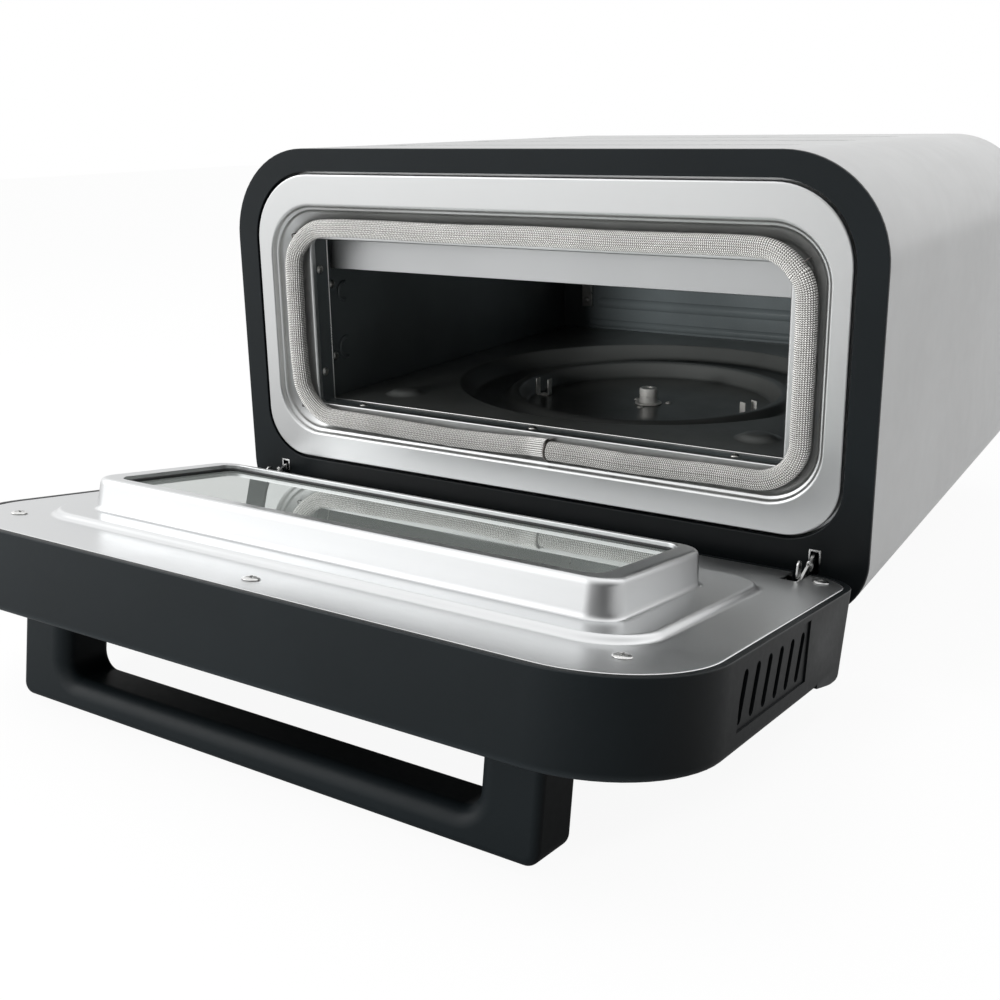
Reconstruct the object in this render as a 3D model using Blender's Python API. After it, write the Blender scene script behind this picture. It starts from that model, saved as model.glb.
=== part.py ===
"""Electric pizza oven with a drop-down door, for Blender 4.5.

Metres, +Z up. The origin is on the table, at the middle of the space that the oven takes
with its door open. +Y points to the back of the oven. The door is shown at its open stop.
"""

from collections import namedtuple
from math import atan2, cos, hypot, pi, radians, sin, sqrt

import bmesh
import bpy
from mathutils import Matrix, Vector

for old_object in list(bpy.data.objects):
    bpy.data.objects.remove(old_object, do_unlink=True)

# Driving sizes of the oven's body; the width also sets the door, the mouth and the chamber
body_width = 0.460
body_height = 0.2648
body_top_radius = 0.0614
body_bottom_radius = 0.0387
foot_height = 0.030

# The mouth, and the baking chamber behind it
mouth_side = 0.0565
mouth_above = 0.0618
mouth_width = body_width - mouth_side * 2
mouth_bottom = 0.086
mouth_top = body_height - mouth_above
mouth_radius = 0.009
chamber_overhang = 0.0065
ceiling_space = 0.0398
chamber_width = mouth_width + chamber_overhang * 2
chamber_floor = 0.085
chamber_ceiling = body_height - ceiling_space

# The round well for the baking stone, which sets how deep the oven is
collar_back = 0.030
well_side_gap = 0.032
well_front_gap = 0.022
well_back_gap = 0.042
rear_space = 0.029
well_radius = chamber_width / 2 - well_side_gap
well_centre_y = collar_back + well_front_gap + well_radius
chamber_back = well_centre_y + well_radius + well_back_gap
body_depth = chamber_back + rear_space

# Sizes of the door, closed; its inner face stands off the front of the body
door_side_reveal = 0.0007
door_top_reveal = 0.0009
door_width = body_width - door_side_reveal * 2
door_length = body_height - door_top_reveal
door_thickness = 0.044
door_gap = 0.005
cover_edge_radius = 0.004
door_bottom = 0.0
door_top_radius = 0.063
door_bottom_radius = 0.0266
door_open_angle = 80.5

# Clearances and sheet thicknesses
fit_gap = 0.0003
overrun = 0.010
casing_wall = 0.0012
sheet = 0.0010
thin_sheet = 0.0008
plate_thickness = 0.0012

# The door turns about this line, closed or open
hinge_axis_y = -0.0244
hinge_axis_z = 0.0139

# The fixed arms' inner faces; the slots, brackets and links beside them are placed from here
hinge_inset = 0.0373
arm_inner = door_width / 2 - hinge_inset

corner_steps = 6
round_steps = 20

Outline = namedtuple("Outline", "half low high low_radius high_radius")
Holder = namedtuple("Holder", "empty origin")


def grown(shape, distance):
    """The outline moved outwards all round, or inwards where the distance is negative."""
    return Outline(
        shape.half + distance,
        shape.low - distance,
        shape.high + distance,
        max(shape.low_radius + distance, fit_gap),
        max(shape.high_radius + distance, fit_gap),
    )


def outline_points(shape, steps=corner_steps):
    """Points of a rounded rectangle, anticlockwise from its lower right corner."""
    corners = (
        (shape.half - shape.low_radius, shape.low + shape.low_radius, shape.low_radius, -90),
        (shape.half - shape.high_radius, shape.high - shape.high_radius, shape.high_radius, 0),
        (shape.high_radius - shape.half, shape.high - shape.high_radius, shape.high_radius, 90),
        (shape.low_radius - shape.half, shape.low + shape.low_radius, shape.low_radius, 180),
    )
    points = []
    for across, up, radius, start in corners:
        for step in range(steps + 1):
            turn = radians(start + 90 * step / steps)
            points.append((across + radius * cos(turn), up + radius * sin(turn)))
    return points


def rectangle(left, right, low, high):
    return [(left, low), (right, low), (right, high), (left, high)]


def circle_points(across, up, radius, steps=round_steps):
    turns = [2 * pi * step / steps for step in range(steps)]
    return [(across + radius * cos(turn), up + radius * sin(turn)) for turn in turns]


def finish(name, colour, roughness, metallic):
    """The node's own material."""
    material = bpy.data.materials.new(name + "_finish")
    material.use_nodes = True
    shader = material.node_tree.nodes["Principled BSDF"]
    shader.inputs["Base Color"].default_value = (*colour, 1.0)
    shader.inputs["Roughness"].default_value = roughness
    shader.inputs["Metallic"].default_value = metallic
    material.diffuse_color = (*colour, 1.0)
    return material


black_plastic = ((0.022, 0.026, 0.029), 0.5, 0.0)
grey_paint = ((0.42, 0.43, 0.44), 0.4, 0.5)
pressed_steel = ((0.72, 0.73, 0.74), 0.32, 0.9)
dark_enamel = ((0.035, 0.042, 0.045), 0.4, 0.0)
zinc_plate = ((0.55, 0.55, 0.53), 0.35, 0.9)
spring_steel = ((0.35, 0.35, 0.36), 0.3, 1.0)
clear_glass = ((0.10, 0.12, 0.12), 0.05, 0.0)
glass_cloth = ((0.58, 0.55, 0.50), 0.9, 0.0)
white_wool = ((0.80, 0.78, 0.72), 1.0, 0.0)
circuit_green = ((0.03, 0.16, 0.07), 0.5, 0.0)
soft_rubber = ((0.02, 0.02, 0.02), 0.9, 0.0)


def add_object(name, mesh, holder, look=None, smooth=False):
    """Makes the object, hangs it on its holder and gives it its finish."""
    bmesh.ops.remove_doubles(mesh, verts=mesh.verts[:], dist=fit_gap / 100)
    bmesh.ops.recalc_face_normals(mesh, faces=mesh.faces[:])
    data = bpy.data.meshes.new(name)
    mesh.to_mesh(data)
    mesh.free()
    data.transform(Matrix.Translation(-Vector(holder.origin)))
    thing = bpy.data.objects.new(name, data)
    bpy.context.scene.collection.objects.link(thing)
    thing.parent = holder.empty
    if smooth:
        data.shade_smooth()
        data.set_sharp_from_angle(angle=radians(35))
    if look:
        data.materials.append(finish(name, *look))
    return thing


def add_empty(name, place, parent=None, turn=0.0):
    """An empty on a joint's axis, turned about X by the angle given."""
    empty = bpy.data.objects.new(name, None)
    bpy.context.scene.collection.objects.link(empty)
    empty.parent = parent
    empty.location = place
    empty.rotation_euler = (turn, 0.0, 0.0)
    return empty


def lofted(rings, closed=True):
    """Skin through rings with equal numbers of points. Each ring is its points and its Y."""
    mesh = bmesh.new()
    loops = []
    for points, depth in rings:
        loops.append([mesh.verts.new((across, depth, up)) for across, up in points])
    pairs = list(zip(loops, loops[1:]))
    if closed:
        pairs.append((loops[-1], loops[0]))
    else:
        mesh.faces.new(loops[0])
        mesh.faces.new(loops[-1])
    for first, second in pairs:
        for index in range(len(first)):
            after = (index + 1) % len(first)
            mesh.faces.new((first[index], first[after], second[after], second[index]))
    return mesh


def prism(outlines, start, end, along="y"):
    """A plate with any number of holes: the first outline is its edge, the rest are holes."""
    places = {
        "x": lambda first, second, depth: (depth, first, second),
        "y": lambda first, second, depth: (first, depth, second),
        "z": lambda first, second, depth: (first, second, depth),
    }
    mesh = bmesh.new()
    for points in outlines:
        corners = [mesh.verts.new(places[along](a, b, start)) for a, b in points]
        for index, corner in enumerate(corners):
            mesh.edges.new((corner, corners[(index + 1) % len(corners)]))
    bmesh.ops.triangle_fill(mesh, edges=mesh.edges[:], use_beauty=True)
    raised = bmesh.ops.extrude_face_region(mesh, geom=mesh.faces[:])
    moved = [part for part in raised["geom"] if isinstance(part, bmesh.types.BMVert)]
    bmesh.ops.translate(mesh, verts=moved, vec=places[along](0.0, 0.0, end - start))
    return mesh


def turned(profile, steps=round_steps, flute=0.0):
    """A body turned about Z from (radius, height) points that start and end on the axis,
    or that run round a bore and close on themselves."""
    mesh = bmesh.new()
    rings = []
    for radius, height in profile:
        if radius == 0:
            rings.append([mesh.verts.new((0.0, 0.0, height))])
            continue
        ring = []
        for step in range(steps):
            turn = 2 * pi * step / steps
            reach = radius - flute * (step % 2)
            ring.append(mesh.verts.new((reach * cos(turn), reach * sin(turn), height)))
        rings.append(ring)
    pairs = list(zip(rings, rings[1:]))
    if len(rings[0]) > 1:
        pairs.append((rings[-1], rings[0]))
    for first, second in pairs:
        for step in range(steps):
            after = (step + 1) % steps
            if len(first) == 1:
                mesh.faces.new((first[0], second[step], second[after]))
            elif len(second) == 1:
                mesh.faces.new((first[step], second[0], first[after]))
            else:
                mesh.faces.new((first[step], second[step], second[after], first[after]))
    return mesh


def moved(mesh, place, turn_axis="X", turn=0.0):
    """The same mesh turned about one axis and then moved."""
    mesh.transform(Matrix.Translation(place) @ Matrix.Rotation(turn, 4, turn_axis))
    return mesh


def gathered(meshes):
    """Separate bodies in one mesh, for a cutter that cuts in several places."""
    whole = bmesh.new()
    for mesh in meshes:
        data = bpy.data.meshes.new("piece")
        mesh.to_mesh(data)
        mesh.free()
        whole.from_mesh(data)
        bpy.data.meshes.remove(data)
    return whole


def combine(target, mesh, operation, holder):
    """Cuts the target with the mesh, joins the mesh to it or keeps what both hold."""
    other = add_object(target.name + "_" + operation.lower(), mesh, holder)
    other.hide_render = True
    other.display_type = "WIRE"
    change = target.modifiers.new(operation.lower(), "BOOLEAN")
    change.operation = operation
    change.solver = "EXACT"
    change.object = other


def tube(name, points, radius, holder, look, closed=False):
    """A round bar or wire along a path, with filled ends."""
    path = bpy.data.curves.new(name, "CURVE")
    path.dimensions = "3D"
    path.bevel_depth = radius
    path.bevel_resolution = 2
    path.use_fill_caps = True
    path.twist_mode = "MINIMUM"
    spline = path.splines.new("POLY")
    spline.points.add(len(points) - 1)
    for target, place in zip(spline.points, points):
        target.co = (*(Vector(place) - Vector(holder.origin)), 1.0)
    spline.use_cyclic_u = closed
    path.materials.append(finish(name, *look))
    thing = bpy.data.objects.new(name, path)
    bpy.context.scene.collection.objects.link(thing)
    thing.parent = holder.empty
    return thing


# Where the body and the door stand in the world
door_turn = radians(door_open_angle)
door_free_end = door_bottom + door_length - hinge_axis_z
door_edge_reach = door_gap + door_thickness - cover_edge_radius + hinge_axis_y
front_reach = door_free_end * sin(door_turn) + door_edge_reach * cos(door_turn) - hinge_axis_y
front_offset = (front_reach - body_depth) / 2

oven_empty = add_empty("oven_place", (0.0, front_offset, foot_height))
body = Holder(oven_empty, (0.0, 0.0, 0.0))
door_axis = (0.0, hinge_axis_y, hinge_axis_z)
door_empty = add_empty("door_hinge_axis", door_axis, oven_empty, door_turn)
door = Holder(door_empty, door_axis)

casing_outline = Outline(
    body_width / 2, 0.0, body_height, body_bottom_radius, body_top_radius
)

frame_edge_radius = 0.0015
frame_edge_depth = 0.0022
frame_wall = 0.0025
frame_spigot_depth = 0.012
frame_lip_depth = 0.010
casing_front = frame_edge_depth + fit_gap
channel_first = 0.081
channel_last_space = 0.114
channel_count = 3
channel_pitch = (body_depth - channel_first - channel_last_space) / (channel_count - 1)
channel_end_space = 0.078
channel_half_length = body_width / 2 - channel_end_space
channel_half_width = 0.009
channel_depth = 0.003
window_side_space = 0.080
window_half_width = body_width / 2 - window_side_space
window_front = 0.045
window_back_space = 0.034
window_back = body_depth - window_back_space


def slot_outline(half_length, centre, half_width, steps=8):
    """A slot with round ends, along X."""
    points = []
    for side, start in ((1, -90), (-1, 90)):
        for step in range(steps + 1):
            turn = radians(start + 180 * step / steps)
            across = side * (half_length - half_width) + half_width * cos(turn)
            points.append((across, centre + half_width * sin(turn)))
    return points


def make_outer_casing():
    """Painted sheet that wraps the body, with three pressed channels across its top."""
    inner = grown(casing_outline, -casing_wall)
    rings = (
        (outline_points(casing_outline), casing_front),
        (outline_points(casing_outline), body_depth),
        (outline_points(inner), body_depth),
        (outline_points(inner), casing_front),
    )
    casing = add_object("outer_casing", lofted(rings), body, grey_paint, smooth=True)
    top = body_height
    rows = [channel_first + channel_pitch * row for row in range(channel_count)]
    trays = []
    dips = []
    for row in rows:
        tray_edge = slot_outline(
            channel_half_length + casing_wall, row, channel_half_width + casing_wall
        )
        dip_edge = slot_outline(channel_half_length, row, channel_half_width)
        tray_floor = top - channel_depth - casing_wall
        trays.append(prism([tray_edge], tray_floor, top - casing_wall / 2, "z"))
        dips.append(prism([dip_edge], top - channel_depth, top + overrun, "z"))
    combine(casing, gathered(trays), "UNION", body)
    combine(casing, gathered(dips), "DIFFERENCE", body)
    window = rectangle(-window_half_width, window_half_width, window_front, window_back)
    combine(casing, prism([window], -overrun, casing_wall + overrun, "z"), "DIFFERENCE", body)
    return casing


frame_side_band = 0.0186
frame_top_band = 0.0167
frame_bottom_band = 0.0479
panel_outline = Outline(
    body_width / 2 - frame_side_band,
    frame_bottom_band,
    body_height - frame_top_band,
    0.033,
    0.0463,
)
panel_gap = 0.0016
arm_slot_space = 0.0012
link_slot_near = 0.0048
link_slot_far = 0.0116
arm_slot_inner = arm_inner - arm_slot_space
link_slot_inner = arm_inner + link_slot_near
link_slot_outer = arm_inner + link_slot_far
link_slot_top = 0.0415
link_slot_bottom = 0.012
arm_slot_bottom = 0.0065
arm_slot_top = 0.022


def make_front_frame():
    """Black moulded bezel round the front, with slots for the door's hinge arms."""
    opening = grown(panel_outline, panel_gap)
    spigot = grown(casing_outline, -casing_wall - fit_gap)
    rings = (
        (outline_points(grown(casing_outline, -frame_edge_radius)), 0.0),
        (outline_points(casing_outline), frame_edge_radius),
        (outline_points(casing_outline), frame_edge_depth),
        (outline_points(spigot), frame_edge_depth),
        (outline_points(spigot), frame_spigot_depth),
        (outline_points(grown(spigot, -frame_wall)), frame_spigot_depth),
        (outline_points(grown(spigot, -frame_wall)), frame_wall),
        (outline_points(grown(opening, frame_wall)), frame_wall),
        (outline_points(grown(opening, frame_wall)), frame_lip_depth),
        (outline_points(opening), frame_lip_depth),
        (outline_points(opening), frame_edge_radius / 2),
        (outline_points(grown(opening, frame_edge_radius / 2)), 0.0),
    )
    frame = add_object("front_frame", lofted(rings), body, black_plastic, smooth=True)
    slots = []
    for side in (-1, 1):
        arm_edges = sorted((side * arm_slot_inner, side * link_slot_outer))
        link_edges = sorted((side * link_slot_inner, side * link_slot_outer))
        arm_slot = rectangle(*arm_edges, arm_slot_bottom, arm_slot_top)
        link_slot = rectangle(*link_edges, link_slot_bottom, link_slot_top)
        slots.append(prism([arm_slot], -overrun, frame_wall + overrun / 5))
        slots.append(prism([link_slot], -overrun, frame_wall + overrun / 4))
    for slot in slots:
        combine(frame, slot, "DIFFERENCE", body)
    return frame


panel_side_band = 0.0114
panel_top_band = 0.0211
panel_bottom_band = 0.0181
step_outline = Outline(
    panel_outline.half - panel_side_band,
    panel_outline.low + panel_bottom_band,
    panel_outline.high - panel_top_band,
    0.034,
    0.036,
)
recess_depth = 0.0115
panel_seat_depth = frame_lip_depth + fit_gap
panel_seat_flange = 0.0036
panel_bend = 0.0015
mouth_outline = Outline(mouth_width / 2, mouth_bottom, mouth_top, mouth_radius, mouth_radius)


def make_front_panel():
    """Pressed steel panel with a stepped recess round the mouth; its flange sits behind the bezel."""
    wall_foot = grown(step_outline, -panel_bend)
    behind = grown(step_outline, sheet)
    rings = (
        (outline_points(grown(panel_outline, panel_seat_flange)), panel_seat_depth),
        (outline_points(panel_outline), panel_seat_depth),
        (outline_points(panel_outline), panel_bend),
        (outline_points(grown(panel_outline, -panel_bend)), 0.0),
        (outline_points(grown(step_outline, panel_bend)), 0.0),
        (outline_points(step_outline), panel_bend),
        (outline_points(wall_foot), recess_depth - panel_bend),
        (outline_points(grown(wall_foot, -panel_bend)), recess_depth),
        (outline_points(mouth_outline), recess_depth),
        (outline_points(mouth_outline), recess_depth + sheet),
        (outline_points(wall_foot), recess_depth + sheet),
        (outline_points(behind), panel_bend + sheet),
        (outline_points(grown(panel_outline, -sheet)), panel_bend + sheet),
        (outline_points(grown(panel_outline, -sheet)), panel_seat_depth + sheet),
        (outline_points(grown(panel_outline, panel_seat_flange)), panel_seat_depth + sheet),
    )
    return add_object("front_panel", lofted(rings), body, pressed_steel, smooth=True)


collar_step = 0.0010
collar_front = recess_depth + sheet + fit_gap
collar_flange = 0.010
collar_inner = grown(mouth_outline, collar_step)


def make_opening_collar():
    """Dark sleeve that lines the mouth, flanged behind the front panel."""
    outer = grown(collar_inner, sheet)
    rings = (
        (outline_points(collar_inner), collar_front),
        (outline_points(collar_inner), collar_back),
        (outline_points(outer), collar_back),
        (outline_points(outer), collar_front + sheet),
        (outline_points(grown(outer, collar_flange)), collar_front + sheet),
        (outline_points(grown(outer, collar_flange)), collar_front),
    )
    return add_object("opening_collar", lofted(rings), body, dark_enamel, smooth=True)


ledge_depth = 0.009
ledge_width = 0.010
liner_flange = 0.010
liner_corner = 0.003
liner_front = collar_front + sheet + fit_gap
liner_inner = Outline(
    chamber_width / 2, chamber_floor - ledge_depth, chamber_ceiling, fit_gap, liner_corner
)
element_radius = 0.00325
element_hole_radius = element_radius + fit_gap
upper_element_side_gap = 0.060
upper_element_drop = 0.012
upper_element_half = chamber_width / 2 - upper_element_side_gap
upper_element_height = chamber_ceiling - upper_element_drop


def make_cavity_liner():
    """Enamelled chamber, open at the front, with a ledge that the floor pan sits on."""
    outer = grown(liner_inner, thin_sheet)
    rings = (
        (outline_points(outer, 2), chamber_back + thin_sheet),
        (outline_points(outer, 2), liner_front + thin_sheet),
        (outline_points(grown(outer, liner_flange), 2), liner_front + thin_sheet),
        (outline_points(grown(outer, liner_flange), 2), liner_front),
        (outline_points(liner_inner, 2), liner_front),
        (outline_points(liner_inner, 2), chamber_back),
    )
    liner = add_object("cavity_liner", lofted(rings, False), body, dark_enamel, smooth=True)
    reach = liner_inner.half - ledge_width
    well = rectangle(-reach, reach, collar_back + ledge_width, chamber_back - ledge_width)
    floor = liner_inner.low
    combine(liner, prism([well], floor - overrun, floor + overrun / 5, "z"), "DIFFERENCE", body)
    holes = []
    for side in (-1, 1):
        hole = circle_points(side * upper_element_half, upper_element_height, element_hole_radius, 8)
        holes.append(prism([hole], chamber_back - overrun, chamber_back + overrun))
    combine(liner, gathered(holes), "DIFFERENCE", body)
    return liner


well_steps = 40
well_drop = 0.013
bead_inset = 0.044
bead_radius = well_radius - bead_inset
bead_half_width = 0.0075
bead_drop = 0.007
dish_drop = 0.020
dish_inset = 0.0072
dish_radius = bead_radius - dish_inset
post_hole_radius = 0.0043
bump_side_space = 0.042
bump_front_space = 0.038
bump_x = chamber_width / 2 - bump_side_space
bump_y = collar_back + bump_front_space
bump_radius = 0.016
bump_height = 0.0035
bump_steps = 14
pan_corner = 0.006


def pan_profile():
    """Radius and drop of the round well, from its rim to the hole in its middle."""
    bend = sheet * 2
    return (
        (well_radius, 0.0),
        (well_radius - bend, bend / 4),
        (well_radius - well_drop, well_drop - bend / 2),
        (well_radius - well_drop - bend, well_drop),
        (bead_radius + bead_half_width + bend / 2, well_drop),
        (bead_radius + bead_half_width / 2, bead_drop + bend / 4),
        (bead_radius, bead_drop),
        (bead_radius - bead_half_width / 2, bead_drop + bend / 4),
        (dish_radius, dish_drop - bend / 2),
        (dish_radius - bend, dish_drop),
        (post_hole_radius, dish_drop),
    )


def bump_profile():
    """Radius and rise of the domed pips at the front corners of the floor."""
    shares = ((1.0, 0.0), (0.85, 0.25), (0.6, 0.75), (0.35, 1.0))
    return [(bump_radius * across, bump_height * up) for across, up in shares]


def turned_skin(mesh, centre, profile, height, steps):
    """Rings about an upright axis, bridged; gives back the edges of the first ring and the last ring."""
    rings = []
    for radius, rise in profile:
        ring = []
        for step in range(steps):
            turn = 2 * pi * step / steps
            across = centre[0] + radius * cos(turn)
            ring.append(mesh.verts.new((across, centre[1] + radius * sin(turn), height + rise)))
        rings.append(ring)
    for first, second in zip(rings, rings[1:]):
        for step in range(steps):
            after = (step + 1) % steps
            mesh.faces.new((first[step], first[after], second[after], second[step]))
    return rings[0], rings[-1]


def ring_edges(mesh, ring):
    edges = []
    for index, corner in enumerate(ring):
        after = ring[(index + 1) % len(ring)]
        edges.append(mesh.edges.get((corner, after)) or mesh.edges.new((corner, after)))
    return edges


def make_floor_pan():
    """Pressed floor with a round stepped well for the baking stone and two pips in front."""
    half = liner_inner.half - fit_gap * 2
    front = collar_back + fit_gap
    back = chamber_back - fit_gap * 2
    edge = Outline(half, front, back, pan_corner, pan_corner)
    skirt_bottom = liner_inner.low + fit_gap
    mesh = bmesh.new()
    holes = {}
    brims = {}
    for side, height in (("top", chamber_floor), ("under", chamber_floor - sheet)):
        plan = outline_points(edge if side == "top" else grown(edge, -sheet), 3)
        brim = [mesh.verts.new((across, along, height)) for across, along in plan]
        drop = [(radius, -fall) for radius, fall in pan_profile()]
        rim, hole = turned_skin(mesh, (0.0, well_centre_y), drop, height, well_steps)
        edges = ring_edges(mesh, brim) + ring_edges(mesh, rim)
        for hand in (-1, 1):
            centre = (hand * bump_x, bump_y)
            foot, crown = turned_skin(mesh, centre, bump_profile(), height, bump_steps)
            mesh.faces.new(crown)
            edges += ring_edges(mesh, foot)
        bmesh.ops.triangle_fill(mesh, edges=edges, use_beauty=True)
        holes[side] = hole
        brims[side] = brim
    lips = []
    for side in ("top", "under"):
        corners = [(corner.co.x, corner.co.y, skirt_bottom) for corner in brims[side]]
        lips.append([mesh.verts.new(corner) for corner in corners])
    bands = (
        (holes["top"], holes["under"]),
        (brims["top"], lips[0]),
        (lips[0], lips[1]),
        (lips[1], brims["under"]),
    )
    for first, second in bands:
        for index in range(len(first)):
            after = (index + 1) % len(first)
            mesh.faces.new((first[index], first[after], second[after], second[index]))
    return add_object("floor_pan", mesh, body, dark_enamel, smooth=True)


baffle_height = 0.045
baffle_bottom = chamber_ceiling - baffle_height
baffle_y = 0.035
baffle_flange = 0.016


def make_ceiling_baffle():
    """Steel strip hung from the ceiling behind the mouth, in front of the upper element."""
    half = liner_inner.half - liner_corner - fit_gap
    top = chamber_ceiling - fit_gap
    profile = (
        (baffle_y, baffle_bottom),
        (baffle_y + sheet, baffle_bottom),
        (baffle_y + sheet, top - sheet),
        (baffle_y + baffle_flange, top - sheet),
        (baffle_y + baffle_flange, top),
        (baffle_y, top),
    )
    return add_object("ceiling_baffle", prism([profile], -half, half, "x"), body, pressed_steel)


gasket_radius = 0.0055
gasket_side_stand = 0.012
gasket_bottom_stand = 0.0095
gasket_top_stand = 0.0097
gasket_outline = Outline(
    mouth_width / 2 + gasket_side_stand,
    mouth_bottom - gasket_bottom_stand,
    mouth_top + gasket_top_stand,
    0.027,
    0.027,
)
gasket_joint_x = 0.0203
gasket_joint_gap = 0.0003
gasket_y = recess_depth - gasket_radius - fit_gap
clip_wire_radius = 0.0005


def make_door_gasket():
    """Braided rope seal round the mouth; its two ends meet under a clip at the bottom."""
    path = outline_points(gasket_outline, 7)
    start = (gasket_joint_x + gasket_joint_gap, gasket_outline.low)
    end = (gasket_joint_x - gasket_joint_gap, gasket_outline.low)
    points = [(across, gasket_y, up) for across, up in [start, *path, end]]
    return tube("door_gasket", points, gasket_radius, body, glass_cloth)


def make_gasket_clip():
    """Wire staple bent over the joint of the seal."""
    reach = gasket_radius + clip_wire_radius + fit_gap
    steps = 10
    foot = recess_depth - clip_wire_radius - fit_gap
    points = [(gasket_joint_x, foot, gasket_outline.low - reach)]
    for step in range(steps + 1):
        turn = pi * step / steps
        depth = gasket_y - reach * sin(turn)
        points.append((gasket_joint_x, depth, gasket_outline.low - reach * cos(turn)))
    points.append((gasket_joint_x, foot, gasket_outline.low + reach))
    return tube("gasket_clip", points, clip_wire_radius, body, spring_steel)


base_overlap = 0.018
base_bottom = casing_wall + fit_gap
base_top = base_bottom + plate_thickness


def make_base_plate():
    """Steel plate that closes the window in the casing's underside, from inside."""
    half = window_half_width + base_overlap
    front = window_front - base_overlap
    plate = rectangle(-half, half, front, window_back + base_overlap)
    return add_object("base_plate", prism([plate], base_bottom, base_top, "z"), body, zinc_plate)


rear_inset = 0.0045
rear_flange = 0.010
vent_rows = 3
vent_columns = 9
vent_pitch = 0.030
vent_half_length = 0.011
vent_half_width = 0.002
vent_row_pitch = 0.016
vent_first_z = 0.150
gland_side_space = 0.080
gland_x = body_width / 2 - gland_side_space
gland_z = 0.045
gland_hole_radius = 0.0085


def make_rear_cover():
    """Rear plate set into the casing, with rows of vents and a hole for the cord's gland."""
    outline = grown(casing_outline, -casing_wall - fit_gap)
    face = body_depth - rear_inset
    rings = (
        (outline_points(grown(outline, -plate_thickness)), face - rear_flange),
        (outline_points(outline), face - rear_flange),
        (outline_points(outline), face),
    )
    inside = (outline_points(grown(outline, -plate_thickness)), face - plate_thickness)
    mesh = lofted((rings[2], rings[1], rings[0], inside), False)
    cover = add_object("rear_cover", mesh, body, grey_paint, smooth=True)
    cutters = []
    for row in range(vent_rows):
        height = vent_first_z + row * vent_row_pitch
        for column in range(vent_columns):
            across = (column - (vent_columns - 1) / 2) * vent_pitch
            left = across - vent_half_length
            right = across + vent_half_length
            slot = rectangle(left, right, height - vent_half_width, height + vent_half_width)
            cutters.append(prism([slot], face - overrun / 2, face + overrun / 2))
    hole = circle_points(gland_x, gland_z, gland_hole_radius)
    cutters.append(prism([hole], face - overrun / 2, face + overrun / 2))
    combine(cover, gathered(cutters), "DIFFERENCE", body)
    return cover


gland_flange_radius = 0.012
gland_flange_height = 0.0035
gland_bore_radius = 0.004
gland_length = 0.014


def make_cord_gland():
    """Flanged bush in the rear cover, through which the supply cord would pass."""
    barrel = gland_hole_radius - fit_gap
    seat = plate_thickness + fit_gap
    profile = (
        (gland_bore_radius, gland_flange_height),
        (gland_flange_radius - sheet, gland_flange_height),
        (gland_flange_radius, gland_flange_height - sheet),
        (gland_flange_radius, fit_gap),
        (barrel, fit_gap),
        (barrel, -seat - gland_length),
        (gland_bore_radius, -seat - gland_length),
    )
    place = (gland_x, body_depth - rear_inset, gland_z)
    mesh = moved(turned(profile), place, "X", -pi / 2)
    return add_object("cord_gland", mesh, body, black_plastic, smooth=True)


blanket_thickness = 0.011
blanket_front = collar_back
blanket_legs = 0.004


def make_insulation_blanket():
    """Mineral wool laid over the top and down both sides of the chamber."""
    inner = liner_inner.half + thin_sheet + fit_gap
    outer = inner + blanket_thickness
    under = chamber_ceiling + thin_sheet + fit_gap
    low = liner_inner.low + blanket_legs
    profile = (
        (-outer, low),
        (-inner, low),
        (-inner, under),
        (inner, under),
        (inner, low),
        (outer, low),
        (outer, under + blanket_thickness / 2),
        (outer - blanket_thickness / 2, under + blanket_thickness),
        (blanket_thickness / 2 - outer, under + blanket_thickness),
        (-outer, under + blanket_thickness / 2),
    )
    mesh = prism([profile], blanket_front, chamber_back)
    return add_object("insulation_blanket", mesh, body, white_wool)


upper_element_front = 0.080
upper_element_bend = 0.030
element_tail = 0.012


def make_upper_element():
    """Sheathed heating rod bent into a U under the ceiling; its ends leave through the back."""
    half = upper_element_half
    front = upper_element_front
    bend = upper_element_bend
    end = chamber_back + element_tail
    points = [(-half, end)]
    steps = 6
    for centre_x, start in ((bend - half, 180), (half - bend, 270)):
        for step in range(steps + 1):
            turn = radians(start + 90 * step / steps)
            points.append((centre_x + bend * cos(turn), front + bend + bend * sin(turn)))
    points.append((half, end))
    places = [(across, along, upper_element_height) for across, along in points]
    return tube("upper_element", places, element_radius, body, spring_steel)


lower_element_steps = 44
lower_tail_angle = 10.0
lower_tail_height = 0.050
lower_tail_bend = 0.012
tail_near_share = 0.8


def make_lower_element():
    """Sheathed ring that lies in the bead under the floor; its ends turn down and go back."""
    height = chamber_floor - bead_drop - sheet - fit_gap * 2 - element_radius
    points = []
    sweep = 360 - 2 * lower_tail_angle
    for step in range(lower_element_steps + 1):
        turn = radians(90 + lower_tail_angle + sweep * step / lower_element_steps)
        across = bead_radius * cos(turn)
        points.append((across, well_centre_y + bead_radius * sin(turn), height))
    low = lower_tail_height
    bend = lower_tail_bend
    tails = []
    for across, along, _ in (points[0], points[-1]):
        near = across * tail_near_share
        tails.append(
            (
                (across, along, height - bend / 8),
                (near, along, height - bend / 2),
                (near, along, low + bend),
                (near, along + bend / 4, low + bend / 4),
                (near, along + bend, low),
                (near, chamber_back + element_tail, low),
            )
        )
    path = [*reversed(tails[0]), *points[1:-1], *tails[1]]
    return tube("lower_element", path, element_radius, body, spring_steel)


bracket_inset = 0.0098
bracket_forward = 0.013
bracket_x = dish_radius - bracket_inset
bracket_y = well_centre_y - bracket_forward
bracket_half_width = 0.00575
bracket_half_depth = 0.006
bracket_height = 0.0135


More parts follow.
